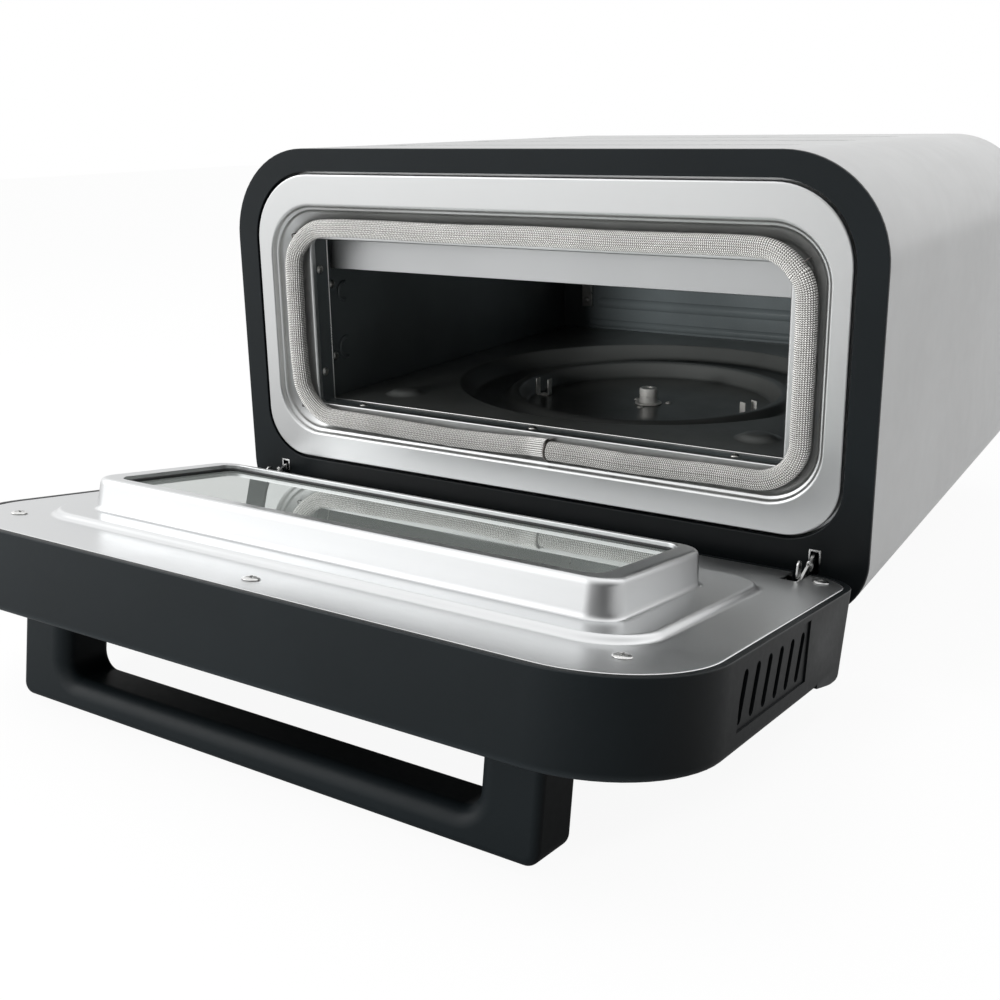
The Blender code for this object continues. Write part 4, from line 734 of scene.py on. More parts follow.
zinc = plated("zinc_plated_steel", (0.66, 0.655, 0.63), 0.33)
sleeve_seats = []
for across in (-0.141, 0.0, 0.141):
    sleeve_seats.append(((across, 0.0212, sleeve_shape.low + 0.0001), (0, 0, 1)))
    sleeve_seats.append(((across, 0.0212, sleeve_shape.high - 0.0001), (0, 0, -1)))
for side in (-1, 1):
    for height in (0.107, 0.181):
        sleeve_seats.append(((side * (sleeve_shape.half - 0.0001), 0.0205, height), (-side, 0, 0)))
patterned(
    "sleeve_screws", screws, seats(sleeve_seats), zinc, "body", "zinc_steel",
    sizes={"Head radius": 0.0031, "Head height": 0.0016},
)

# Baking chamber
# Enamelled steel box, open at the front, folded from one sheet and embossed where its
# brackets and guards are spot-welded. Plated straps at the back carry the upper element.
liner_shape = Shape(0.180, 0.076, 0.2248, 0.0003, 0.003)
liner_front, liner_back, liner_sheet = 0.0141, 0.390, 0.0008
liner_outside = grown(liner_shape, liner_sheet)
liner_mesh = skin(
    lined(
        [
            (liner_outside, liner_back + liner_sheet, 0.0),
            (liner_outside, liner_front + liner_sheet, 0.0),
            (grown(liner_outside, 0.010), liner_front + liner_sheet, 0.0),
            (grown(liner_outside, 0.010), liner_front, 0.0),
            (liner_shape, liner_front, 0.0),
            (liner_shape, liner_back, 0.0),
        ],
        corners=4,
    ),
    capped=True,
)
well_room = block(-0.170, 0.170, 0.040, 0.380, 0.066, 0.0765)
piece(
    "chamber_box", carved(liner_mesh, [well_room]), dark_enamel, "body", "dark_enamel",
    instead_of=["cavity_liner"],
)


def gathered(meshes):
    """Several meshes as one."""
    whole = bmesh.new()
    for mesh in meshes:
        data = bpy.data.meshes.new("part")
        mesh.to_mesh(data)
        mesh.free()
        whole.from_mesh(data)
        bpy.data.meshes.remove(data)
    return whole


def arch(side, height, radius, start, end, steps=14):
    """A curved rib on a side wall, seen as part of a ring."""
    points = []
    for step in range(steps + 1):
        turn = radians(start + (end - start) * step / steps)
        points.append((side * 0.1795, 0.0525 + radius * cos(turn), height + radius * sin(turn)))
    return swept(points, 0.0013, 8)


ribs = []
for side in (-1, 1):
    ribs.append(arch(side, 0.1615, 0.0065, 80, 280))
    ribs.append(arch(side, 0.1195, 0.0075, 80, 280))
for height, reach, radius in ((0.1100, 0.141, 0.0062), (0.0905, 0.150, 0.0045), (0.198, 0.141, 0.0050)):
    back = liner_back + radius * 0.55
    line = [(-reach, back + 0.0012, height), (-reach + 0.003, back, height)]
    line += [(reach * share / 6, back, height) for share in range(-5, 6)]
    line += [(reach - 0.003, back, height), (reach, back + 0.0012, height)]
    ribs.append(swept(line, radius, 12))
piece("chamber_embossing", gathered(ribs), dark_enamel, "body", "dark_enamel", angle=50)

straps = []
for side in (-1, 1):
    strap = block(-0.005, 0.005, 0.3865, 0.3896, 0.106, 0.2235)
    strap.transform(Matrix.Translation((side * 0.154, 0.0, 0.0)))
    straps.append(strap)
piece("element_straps", gathered(straps), zinc, "body", "zinc_steel", bevel=0.0004)
chamber_seats = []
for side in (-1, 1):
    for height in (0.168, 0.115):
        chamber_seats.append(((side * 0.1799, 0.0395, height), (-side, 0, 0)))
    for height in (0.112, 0.217):
        chamber_seats.append(((side * 0.154, 0.3866, height), (0, -1, 0)))
patterned(
    "chamber_screws", screws, seats(chamber_seats), zinc, "body", "zinc_steel",
    sizes={"Head radius": 0.0030, "Head height": 0.0015},
)

# Chamber floor
# Enamelled pan pressed from one sheet: a round stepped well that the baking stone lies in,
# a bead over the lower element, and two domed pips that keep trays level at the front.
floor_enamel = enamelled("grey_floor_enamel", (0.082, 0.086, 0.083), 0.32, 0.10)
floor_top, floor_sheet = 0.085, 0.001
well_centre = Vector((0.0, 0.200, 0.0))
well_steps = 128
well_profile = [
    (0.148, 0.0, 0.0012), (0.1462, 0.0004, 0.0012), (0.1348, 0.0126, 0.0026), (0.1130, 0.0130, 0.0020),
    (0.1075, 0.0074, 0.0022), (0.1009, 0.0074, 0.0022), (0.0962, 0.0196, 0.0022), (0.060, 0.0200, 0.0),
    (0.0043, 0.020, 0.0),
]
pip_profile = [(0.016, 0.0, 0.0), (0.0128, -0.0008, 0.002), (0.0088, -0.0030, 0.0024), (0.003, -0.0035, 0.0018)]


def softened(profile, steps=4):
    """A line of points with each corner rounded by its bend."""
    points = []
    for index, (first, second, bend) in enumerate(profile):
        if not bend or index in (0, len(profile) - 1):
            points.append((first, second))
            continue
        ends = []
        for other in (profile[index - 1], profile[index + 1]):
            run = hypot(other[0] - first, other[1] - second)
            share = min(bend / run, 0.5)
            ends.append((first + share * (other[0] - first), second + share * (other[1] - second)))
        for step in range(steps + 1):
            t = step / steps
            points.append(
                tuple(
                    a * (1 - t) ** 2 + b * 2 * t * (1 - t) + c * t * t
                    for a, b, c in zip(ends[0], (first, second), ends[1])
                )
            )
    return points


def round_skin(mesh, centre, profile, steps):
    """Rings round an upright axis from radius and height; gives back its first and last ring."""
    rings = []
    for radius, height in profile:
        ring = []
        for step in range(steps):
            turn = 2 * pi * step / steps
            ring.append(
                mesh.verts.new((centre[0] + radius * cos(turn), centre[1] + radius * sin(turn), height))
            )
        rings.append(ring)
    for first, second in zip(rings, rings[1:]):
        for step in range(steps):
            after = (step + 1) % steps
            mesh.faces.new((first[step], first[after], second[after], second[step]))
    return rings[0], rings[-1]


def edges_of(mesh, ring):
    edges = []
    for index, corner in enumerate(ring):
        after = ring[(index + 1) % len(ring)]
        edges.append(mesh.edges.get((corner, after)) or mesh.edges.new((corner, after)))
    return edges


pan_mesh = bmesh.new()
pan_edge = Shape(0.1794, 0.0303, 0.3894, 0.006, 0.006)
pan_sides = []
for height, inset in ((floor_top, 0.0), (floor_top - floor_sheet, floor_sheet)):
    shape = grown(pan_edge, -inset)
    shoulder = [(0.0012, 0.0), (0.0006, 0.0002), (0.0002, 0.0006), (0.0, 0.0012)]
    brims = []
    for back, fall in shoulder:
        ring = [pan_mesh.verts.new((x, y, height - fall)) for x, y in outline(grown(shape, -back), 8)]
        brims.append(ring)
    for first, second in zip(brims, brims[1:]):
        for index in range(len(first)):
            after = (index + 1) % len(first)
            pan_mesh.faces.new((first[index], first[after], second[after], second[index]))
    well = [(radius, height - drop) for radius, drop in softened(well_profile)]
    rim, hole = round_skin(pan_mesh, well_centre, well, well_steps)
    edges = edges_of(pan_mesh, brims[0]) + edges_of(pan_mesh, rim)
    for side in (-1, 1):
        pip = [(radius, height - drop) for radius, drop in softened(pip_profile)]
        foot, crown = round_skin(pan_mesh, (side * 0.138, 0.068), pip, 40)
        pan_mesh.faces.new(crown)
        edges += edges_of(pan_mesh, foot)
    bmesh.ops.triangle_fill(pan_mesh, edges=edges, use_beauty=True)
    pan_sides.append((brims[-1], hole))
skirts = []
for brim, _ in pan_sides:
    skirts.append([pan_mesh.verts.new((corner.co.x, corner.co.y, 0.0763)) for corner in brim])
joins = (
    (pan_sides[0][1], pan_sides[1][1]), (pan_sides[0][0], skirts[0]),
    (skirts[0], skirts[1]), (skirts[1], pan_sides[1][0]),
)
for first, second in joins:
    for index in range(len(first)):
        after = (index + 1) % len(first)
        pan_mesh.faces.new((first[index], first[after], second[after], second[index]))
piece(
    "floor_tray", pan_mesh, floor_enamel, "body", "dark_enamel", instead_of=["floor_pan"], angle=24,
)

# Stone brackets and sensor post
# Bright tabs folded up from strip hold the baking stone in the well, and the spring-loaded
# sensor post in the middle touches it from below. Small screws hold all three to the pan.
bracket_base, bracket_height = 0.0653, 0.0135
# Painted light: a paler, half-metallic copy of the plated steel, so that the tabs, sensor post and their screws look
# lit in the shaded chamber.
lit_tab_steel = plated("bright_tab_steel", (0.86, 0.85, 0.81), 0.42)
lit_tab_steel.shader.inputs["Metallic"].default_value = 0.45
for side, hand in ((-1, "left"), (1, "right")):
    outside = softened(
        [(-0.00575, bracket_height, 0), (-0.00575, 0.0, 0.0016), (0.00575, 0.0, 0.0016), (0.00575, bracket_height, 0)]
    )
    inside = softened(
        [(0.00495, bracket_height, 0), (0.00495, 0.0008, 0.001), (-0.00495, 0.0008, 0.001), (-0.00495, bracket_height, 0)]
    )
    profile = [(side * 0.087 + across, bracket_base + up) for across, up in (*outside, *inside)]
    mesh = bmesh.new()
    ends = [[mesh.verts.new((x, y, z)) for x, z in profile] for y in (0.184, 0.190)]
    for index in range(len(profile)):
        after = (index + 1) % len(profile)
        mesh.faces.new((ends[0][index], ends[0][after], ends[1][after], ends[1][index]))
    for end in ends:
        mesh.faces.new(end)
    if side > 0:
        middle = Matrix.Translation((0.087, 0.187, 0.0))
        mesh.transform(middle @ Matrix.Rotation(radians(60), 4, "Z") @ middle.inverted())
    piece(
        "stone_tab_" + hand, mesh, lit_tab_steel, "body", "zinc_steel",
        instead_of=["stone_bracket_" + hand], bevel=0.00025,
    )


def turned(profile, steps=48):
    """A body turned about Z. A point on the axis closes it, else it runs round a bore."""
    mesh = bmesh.new()
    rings = []
    for radius, height in profile:
        if radius < 0.000001:
            rings.append([mesh.verts.new((0.0, 0.0, height))])
            continue
        ring = []
        for step in range(steps):
            turn = 2 * pi * step / steps
            ring.append(mesh.verts.new((radius * cos(turn), radius * sin(turn), height)))
        rings.append(ring)
    pairs = list(zip(rings, rings[1:]))
    if len(rings[0]) > 1:
        pairs.append((rings[-1], rings[0]))
    for first, second in pairs:
        for step in range(steps):
            after = (step + 1) % steps
            if len(first) == 1:
                mesh.faces.new((first[0], second[step], second[after]))
            elif len(second) == 1:
                mesh.faces.new((first[step], second[0], first[after]))
            else:
                mesh.faces.new((first[step], second[step], second[after], first[after]))
    return mesh


post_profile = [
    (0.0, -0.009, 0), (0.0040, -0.009, 0), (0.0040, 0.0, 0), (0.0105, 0.0, 0.0003), (0.0105, 0.0010, 0.0004),
    (0.0072, 0.0011, 0.0006), (0.0070, 0.0062, 0), (0.0066, 0.0064, 0), (0.0066, 0.0069, 0), (0.0070, 0.0071, 0),
    (0.0070, 0.0125, 0.0011), (0.0030, 0.0125, 0.0003), (0.0028, 0.0119, 0), (0.0, 0.0119, 0),
]
piece(
    "stone_sensor", turned(softened(post_profile)), lit_tab_steel, "body", "zinc_steel",
    place=oven_place @ Matrix.Translation((0.0, 0.200, bracket_base)), instead_of=["centre_post"],
)
post_seats = [((0.087 * side, 0.187, bracket_base + 0.0008), (0, 0, 1)) for side in (-1, 1)]
for turn in (30, 150, 270):
    spot = (0.0155 * cos(radians(turn)), 0.200 + 0.0155 * sin(radians(turn)), bracket_base - 0.0003)
    post_seats.append((spot, (0, 0, 1)))
patterned(
    "well_screws", screws, seats(post_seats), lit_tab_steel, "body", "zinc_steel",
    sizes={"Head radius": 0.0024, "Head height": 0.0014},
)

# Heating elements
# Steel-sheathed rods bent while soft: a wide U under the ceiling and a ring under the bead
# of the floor. The heat leaves bluish and brown colours on the sheath.


def sheathed(name, colour):
    finish = Finish(name, colour, 0.38, 0.9)
    bands = finish.grain(24.0, 3.0).eased(0.35, 0.7)
    brown = (0.19, 0.12, 0.075)
    blue = (0.11, 0.13, 0.18)
    heat = finish.mixed(finish.grain(11.0, 2.0).eased(0.42, 0.6), brown, blue)
    finish.feed("Base Color", finish.mixed(bands * 0.45, colour, heat))
    finish.feed("Roughness", finish.grain(150.0, 4.0) * 0.2 + 0.28)
    return finish.relief(finish.grain(1700.0, 2.0), 0.00005, 0.6)


element_sheath = sheathed("heat_stained_sheath", (0.20, 0.195, 0.19))
upper_line = [(-0.120, 0.402, 0.213), (-0.120, 0.30, 0.213), (-0.120, 0.20, 0.213)]
for centre, start in ((-0.090, 180), (0.090, 270)):
    for step in range(17):
        turn = radians(start + 90 * step / 16)
        upper_line.append((centre + 0.030 * cos(turn), 0.110 + 0.030 * sin(turn), 0.213))
upper_line += [(0.120, 0.20, 0.213), (0.120, 0.30, 0.213), (0.120, 0.402, 0.213)]
piece(
    "upper_rod", swept(upper_line, 0.00325, 20), element_sheath, "body", "spring_steel",
    instead_of=["upper_element"], angle=60,
)


def refined(name, node, finish, body, slot, bevel=0.0, angle=32):
    """A finer piece in place of a CAD node: its copy merged, with small rounded edges."""
    mesh = bmesh.new()
    mesh.from_mesh(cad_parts[node].data)
    bmesh.ops.remove_doubles(mesh, verts=mesh.verts[:], dist=0.00002)
    bmesh.ops.dissolve_limit(
        mesh, angle_limit=radians(1.5), verts=mesh.verts[:], edges=mesh.edges[:]
    )
    return piece(
        name, mesh, finish, body, slot, place=Matrix.Identity(4), instead_of=[node],
        bevel=bevel, angle=angle,
    )


refined("lower_ring_rod", "lower_element", element_sheath, "body", "spring_steel", angle=70)

# Ceiling baffle
# Folded strip of pressed steel behind the top of the mouth. It keeps the red-hot upper
# element out of sight and its heat off the door.
baffle_steel = satin_steel("grey_baffle_steel", (0.60, 0.61, 0.615), 0.42)
baffle_profile = softened(
    [
        (0.0350, 0.1802, 0.0), (0.0362, 0.1798, 0.0), (0.0362, 0.2235, 0.0014), (0.0510, 0.2235, 0.0),
        (0.0510, 0.2245, 0.0), (0.0350, 0.2245, 0.0018),
    ]
)
baffle_mesh = bmesh.new()
baffle_lines = [-0.1766, -0.12, -0.06, 0.0, 0.06, 0.12, 0.1766]
strips = [[baffle_mesh.verts.new((x, y, z)) for y, z in baffle_profile] for x in baffle_lines]
for first, second in zip(strips, strips[1:]):
    for index in range(len(first)):
        after = (index + 1) % len(first)
        baffle_mesh.faces.new((first[index], first[after], second[after], second[index]))
for end in (strips[0], strips[-1]):
    baffle_mesh.faces.new(end)
piece(
    "heat_baffle", baffle_mesh, baffle_steel, "body", "pressed_steel",
    instead_of=["ceiling_baffle"], bevel=0.0003,
)

# Mouth seal
# Glass-fibre rope in a knitted sleeve of fine bright wire, laid round the mouth. Its two ends
# meet under a wire staple at the bottom, and small sprung hooks hold it to the panel.
rope_shape = Shape(0.1855, 0.0765, 0.2127, 0.027, 0.027)
rope_radius, rope_depth, rope_joint = 0.0055, 0.0057, 0.0203
# the second colour is painted shade, for the gaps between the knitted wires
sleeve_wire_pale, painted_gap_shade = (0.80, 0.795, 0.775), (0.085, 0.080, 0.072)


def knitted_rope(nodes, given):
    """A round rope along the line given, with rows of knitted wire raised on it."""
    line = nodes.add("GeometryNodeMeshToCurve", {}, {"Mesh": given["Geometry"]})
    line = nodes.add("GeometryNodeResampleCurve", {}, {"Curve": line, "Count": given["Samples"]})
    swell = nodes.add("GeometryNodeInputNamedAttribute", {"data_type": "FLOAT"}, {"Name": "swell"})
    line = nodes.add("GeometryNodeSetCurveRadius", {}, {"Curve": line, "Radius": swell})
    length_node = nodes.tree.nodes.new("GeometryNodeSplineParameter")
    keep_along = nodes.tree.nodes.new("GeometryNodeCaptureAttribute")
    keep_along.capture_items.new("FLOAT", "along")
    nodes.tree.links.new(line.socket, keep_along.inputs["Geometry"])
    nodes.tree.links.new(length_node.outputs["Length"], keep_along.inputs["along"])
    ring = nodes.add(
        "GeometryNodeCurvePrimitiveCircle",
        {},
        {"Resolution": given["Sides"], "Radius": given["Rope radius"]},
    )
    keep_round = nodes.tree.nodes.new("GeometryNodeCaptureAttribute")
    keep_round.capture_items.new("FLOAT", "round")
    nodes.tree.links.new(ring.socket, keep_round.inputs["Geometry"])
    round_node = nodes.tree.nodes.new("GeometryNodeSplineParameter")
    nodes.tree.links.new(round_node.outputs["Factor"], keep_round.inputs["round"])
    tube = nodes.add(
        "GeometryNodeCurveToMesh",
        {},
        {
            "Curve": Signal(nodes, keep_along.outputs["Geometry"]),
            "Profile Curve": Signal(nodes, keep_round.outputs["Geometry"]),
            "Fill Caps": True,
        },
    )
    along = Signal(nodes, keep_along.outputs["along"])
    around = Signal(nodes, keep_round.outputs["round"])
    column = around * given["Columns"]
    rib = (column * (2 * pi)).sine() * 0.5 + 0.5
    place = nodes.add("GeometryNodeInputPosition")
    uneven = nodes.add(
        "ShaderNodeTexNoise", {}, {"Vector": place, "Scale": given["Lumps"], "Detail": 2.0}
    )
    height = rib * given["Wire height"] + (uneven - 0.5) * given["Unevenness"]
    facing = nodes.add("GeometryNodeInputNormal")
    push = nodes.add(
        "ShaderNodeVectorMath", {"operation": "SCALE"}, {"Vector": facing, "Scale": height}
    )
    raised = nodes.add("GeometryNodeSetPosition", {}, {"Geometry": tube, "Offset": push})
    opened = nodes.add("GeometryNodeInputNamedAttribute", {"data_type": "FLOAT"}, {"Name": "swell"})
    for name, value in (("rib", rib), ("along", along), ("around", around), ("spread", opened.eased(1.07, 1.18))):
        raised = nodes.add(
            "GeometryNodeStoreNamedAttribute",
            {"data_type": "FLOAT", "domain": "POINT"},
            {"Geometry": raised, "Name": name, "Value": value},
        )
    return raised


rope_maker = pattern(
    "knitted_rope",
    {
        "Rope radius": 0.0056, "Wire height": 0.00055, "Columns": 24.0,
        "Samples": 960, "Sides": 96, "Lumps": 60.0, "Unevenness": 0.0007,
    },
    knitted_rope,
)
rope_finish = Finish("knitted_wire_sleeve", (0.55, 0.53, 0.50), 0.5, 0.3)
rib = rope_finish.add("ShaderNodeAttribute", {"attribute_name": "rib"}, output="Fac")
along = rope_finish.add("ShaderNodeAttribute", {"attribute_name": "along"}, output="Fac")
around = rope_finish.add("ShaderNodeAttribute", {"attribute_name": "around"}, output="Fac")
column = around * 24.0
lean = column.maths("PINGPONG", column, 0.5)
stitch = ((along * (1 / 0.00125) + lean * 0.9) * (2 * pi)).sine() * 0.5 + 0.5
fuzz = rope_finish.grain(2400.0, 2.0)
spread = rope_finish.add("ShaderNodeAttribute", {"attribute_name": "spread"}, output="Fac")
stitch = stitch * (1.0 - spread * 0.75) + spread * 0.6
loops = stitch * (rib * (0.75 + spread * 0.25) + (0.25 - spread * 0.2)) * 0.85 + fuzz * 0.35
cover = loops.eased(0.22, 0.60)
tones = rope_finish.grain(38.0, 3.0).eased(0.3, 0.7)
wire_tone = rope_finish.mixed(tones, (0.69, 0.687, 0.668), sleeve_wire_pale)
# painted shade: the gaps between the knitted wires are coloured dark
rope_finish.feed("Base Color", rope_finish.mixed(cover, painted_gap_shade, wire_tone))
rope_finish.feed("Roughness", 0.62 - cover * 0.22)
rope_finish.relief(loops, 0.0006, 0.8)

# The rope as it was laid by hand: close to the mouth's corners, fuller at the right, its left
# end spread open at the joint and its right end drawn thin
rope_path = [
    (rope_joint + 0.0003, rope_shape.low),
    *[(rope_joint + run, rope_shape.low) for run in (0.008, 0.016, 0.030, 0.055, 0.085, 0.115)],
]
rope_outline = outline(rope_shape, 24)
for index, point in enumerate(rope_outline):
    after = rope_outline[(index + 1) % len(rope_outline)]
    rope_path.append(point)
    run = hypot(after[0] - point[0], after[1] - point[1])
    pieces_between = int(run / 0.012)
    if index + 1 < len(rope_outline):
        for step in range(1, pieces_between):
            share = step / pieces_between
            rope_path.append(
                (point[0] + share * (after[0] - point[0]), point[1] + share * (after[1] - point[1]))
            )
rope_path += [(-run, rope_shape.low) for run in (0.115, 0.085, 0.055, 0.030, 0.010)]
rope_path += [(rope_joint - run, rope_shape.low) for run in (0.014, 0.008, 0.0035, 0.0003)]
rope_line = bmesh.new()
swell = rope_line.verts.layers.float.new("swell")
rope_corners = []
for across, height in rope_path:
    near_corner = max(0.0, 1.0 - hypot(abs(across) - 0.180, height - 0.207) / 0.040)
    near_corner *= near_corner * (3 - 2 * near_corner)
    low_left = max(0.0, 1.0 - hypot(across + 0.178, height - 0.084) / 0.045)
    low_left *= low_left * (3 - 2 * low_left)
    sway = 0.0007 * sin(across * 47.0 + 1.0) * (1 if height < 0.1 else 0.4)
    corner = rope_line.verts.new(
        (
            across - (1 if across > 0 else -1) * 0.0014 * near_corner + 0.0026 * low_left,
            rope_depth,
            height - 0.0014 * near_corner + 0.0026 * low_left + sway - 0.0008 * (height > 0.2),
        )
    )
    size = 1.0 + 0.07 * (across > 0.12) + 0.02 * sin(across * 71.0 + height * 90.0)
    if height < 0.1 and abs(across - rope_joint) < 0.03:
        share = 1.0 - abs(across - rope_joint) / 0.03
        size += 0.18 * share if across < rope_joint else -0.12 * share
        corner.co.z += 0.0008 * share if across < rope_joint else -0.0008 * share
    if abs(across - rope_joint) < 0.0005 and height < 0.1:
        size = 1.12 if across < rope_joint else 0.88
    corner[swell] = size
    rope_corners.append(corner)
for first, second in zip(rope_corners, rope_corners[1:]):
    rope_line.edges.new((first, second))
patterned(
    "rope_seal", rope_maker, rope_line, rope_finish, "body", "braided_seal",
    instead_of=["door_gasket"], angle=180,
)

spring_wire_finish = plated("spring_steel_wire", (0.22, 0.20, 0.19), 0.36)
staple_reach = rope_radius + 0.0007
staple = [(rope_joint, 0.0110, rope_shape.low - staple_reach)]
for step in range(25):
    turn = pi * step / 24
    staple.append(
        (rope_joint, rope_depth - staple_reach * sin(turn), rope_shape.low - staple_reach * cos(turn))
    )
staple.append((rope_joint, 0.0110, rope_shape.low + staple_reach))
piece(
    "rope_staple", swept(staple, 0.0006, 10), spring_wire_finish, "body", "spring_steel",
    instead_of=["gasket_clip"], angle=60,
)
hooks = []
for side in (-1, 1):
    for up, height in ((1, 0.2045), (-1, 0.0850)):
        foot = (side * 0.1848, 0.0112, height + up * 0.0022)
        hook = [
            foot, (foot[0], 0.0062, foot[2]), (foot[0] - side * 0.0004, 0.0048, foot[2] - up * 0.0004),
            (foot[0] - side * 0.0012, 0.0038, foot[2] - up * 0.0012),
            (foot[0] - side * 0.0022, 0.0034, foot[2] - up * 0.0022),
        ]
        hooks.append(swept(hook, 0.00045, 8))
piece("rope_hooks", gathered(hooks), spring_wire_finish, "body", "spring_steel", angle=60)

# Insulation
# Soft mat of mineral wool, laid in one piece over the roof of the chamber and down its sides.
# It is tacked through with wire, so its outer face swells between the tacks.
wool_finish = Finish("mineral_wool", (0.62, 0.57, 0.42), 0.95, 0.0, Sheen_Weight=0.3)
fibres = wool_finish.grain(1.0, 5.0, wool_finish.stretched((260.0, 900.0, 500.0)))
patches = wool_finish.grain(22.0, 3.0).eased(0.3, 0.7)
wool_shade = wool_finish.mixed(patches, (0.50, 0.46, 0.34), (0.70, 0.66, 0.53))
wool_finish.feed("Base Color", wool_finish.mixed(fibres.eased(0.35, 0.65) * 0.5, wool_shade, (0.78, 0.75, 0.64)))
wool_finish.relief(fibres + wool_finish.grain(90.0, 3.0), 0.0012, 0.7)
mat_inside, mat_thick = 0.1811, 0.0109
mat_low, mat_under = 0.0802, 0.2261
mat_mesh = bmesh.new()
mat_rings = []
for step in range(73):
    along = 0.0302 + (0.390 - 0.0306) * step / 72
    profile = []
    walk = [(-mat_inside, mat_low + (mat_under - mat_low) * rise / 16) for rise in range(17)]
    walk += [(-mat_inside + 2 * mat_inside * run / 32, mat_under) for run in range(1, 32)]
    walk += [(mat_inside, mat_under + (mat_low - mat_under) * fall / 16) for fall in range(17)]
    tuck = min(step, 72 - step) / 3
    for index, (across, up) in enumerate(walk):
        puff = 0.80 + 0.20 * abs(sin(pi * along / 0.060) * sin(pi * index / 6.5))
        if min(index, len(walk) - 1 - index) < 1:
            puff = 0.45
        thick = mat_thick * puff * min(1.0, 0.45 + 0.55 * tuck)
        side = max(-1.0, min(1.0, across / mat_inside))
        out_x = side if abs(side) > 0.999 else 0.0
        out_z = 1.0 if up > mat_under - 0.001 else 0.0
        profile.append((across + out_x * thick, up + out_z * thick))
    mat_rings.append(([*walk, *reversed(profile)], along, 0.0))
piece(
    "wool_mat", skin(mat_rings, capped=True), wool_finish, "body", "mineral_wool",
    instead_of=["insulation_blanket"], angle=60,
)

# Base plate, feet and the parts inside the casing
# A zinc-plated plate closes the casing's underside and carries the wiring's terminal block.
# Four moulded rubber feet are screwed on below, each with a recess for its screw.
refined("base_closing_plate", "base_plate", zinc, "body", "zinc_steel", bevel=0.0003)
rubber = Finish("foot_rubber", (0.018, 0.018, 0.018), 0.85)
dust = rubber.grain(30.0, 4.0).eased(0.45, 0.75)
rubber.feed("Base Color", rubber.mixed(dust * 0.35, (0.014, 0.014, 0.0145), (0.07, 0.068, 0.064)))
rubber.feed("Roughness", rubber.grain(200.0, 2.0) * 0.15 + 0.75)
rubber.relief(rubber.grain(2200.0, 2.0), 0.0001, 0.5)
foot_profile = softened(
    [
        (0.0, -0.0245, 0), (0.0048, -0.0245, 0.0004), (0.0056, -0.0300, 0.0008), (0.0145, -0.0300, 0.0022),
        (0.0156, -0.0160, 0.0), (0.0152, -0.0156, 0.0004), (0.0152, -0.0140, 0.0004), (0.0158, -0.0136, 0),
        (0.0170, -0.0003, 0.0008), (0.0, -0.0003, 0),
    ]
)
foot_seats = []
for row, along in (("front", 0.045), ("back", 0.375)):
    for side, hand in ((-1, "left"), (1, "right")):
        piece(
            "rubber_foot_%s_%s" % (row, hand), turned(foot_profile, 56), rubber, "body", "foot_rubber",
            place=oven_place @ Matrix.Translation((side * 0.165, along, 0.0)),
            instead_of=["foot_%s_%s" % (row, hand)],
        )
        foot_seats.append(((side * 0.165, along, -0.0246), (0, 0, -1)))
patterned(
    "foot_screws", screws, seats(foot_seats), zinc, "body", "zinc_steel",
    sizes={"Head radius": 0.0036, "Head height": 0.0018},
)
ceramic = Finish("terminal_block_moulding", (0.72, 0.69, 0.62), 0.55)
ceramic.feed(
    "Base Color", ceramic.mixed(ceramic.grain(90.0, 3.0).eased(0.3, 0.7), (0.66, 0.63, 0.56), (0.76, 0.73, 0.66))
)
ceramic.relief(ceramic.grain(800.0, 2.0), 0.0001, 0.4)
refined("wiring_terminals", "terminal_block", ceramic, "body", "mineral_wool", bevel=0.0008)
refined("overheat_switch", "thermal_cutout", black_shell, "body", "black_shell", bevel=0.0006)

# Rear cover
# Painted steel plate set into the back of the casing. Each row of pressed vents has a small
# hood over every slot, and the supply cord's bush sits at the lower right.
cover_face, vent_rows, vent_columns = 0.4145, (0.150, 0.166, 0.182), 9
cover_mesh = bmesh.new()
cover_mesh.from_mesh(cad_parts["rear_cover"].data)
bmesh.ops.remove_doubles(cover_mesh, verts=cover_mesh.verts[:], dist=0.00002)
cover_mesh.free()
rear_shape = grown(casing_shape, -0.0015)
rear_mesh = skin(
    lined(
        [
            (grown(rear_shape, -0.0012), cover_face - 0.0012, 0.0),
            (grown(rear_shape, -0.0012), cover_face - 0.010, 0.0),
            (rear_shape, cover_face - 0.010, 0.0),
            (rear_shape, cover_face, 0.0016),
            (grown(rear_shape, -0.022), cover_face, 0.0012),
            (grown(rear_shape, -0.0235), cover_face - 0.0011, 0.0012),
            (grown(rear_shape, -0.030), cover_face - 0.0011, 0.0),
        ][:4]
        + [(grown(rear_shape, -0.020), cover_face, 0.0)]
    ),
    capped=True,
)
vent_cutters = []
for height in vent_rows:
    for column in range(vent_columns):
        across = (column - (vent_columns - 1) / 2) * 0.030
        slot = skin(
            [
                (outline(Shape(0.011, height - 0.002, height + 0.002, 0.0019, 0.0019), 5), depth, 0.0)
                for depth in (cover_face - 0.005, cover_face + 0.005)
            ],
            capped=True,
        )
        slot.transform(Matrix.Translation((across, 0.0, 0.0)))
        vent_cutters.append(slot)
gland_cutter = turned([(0.0, -0.006), (0.0085, -0.006), (0.0085, 0.006), (0.0, 0.006)], 40)
gland_cutter.transform(Matrix.Translation((0.150, cover_face, 0.045)) @ Matrix.Rotation(pi / 2, 4, "X"))
piece(
    "rear_plate", carved(rear_mesh, [gathered([*vent_cutters, gland_cutter])]), casing_paint, "body",
    "casing_paint", instead_of=["rear_cover"],
)


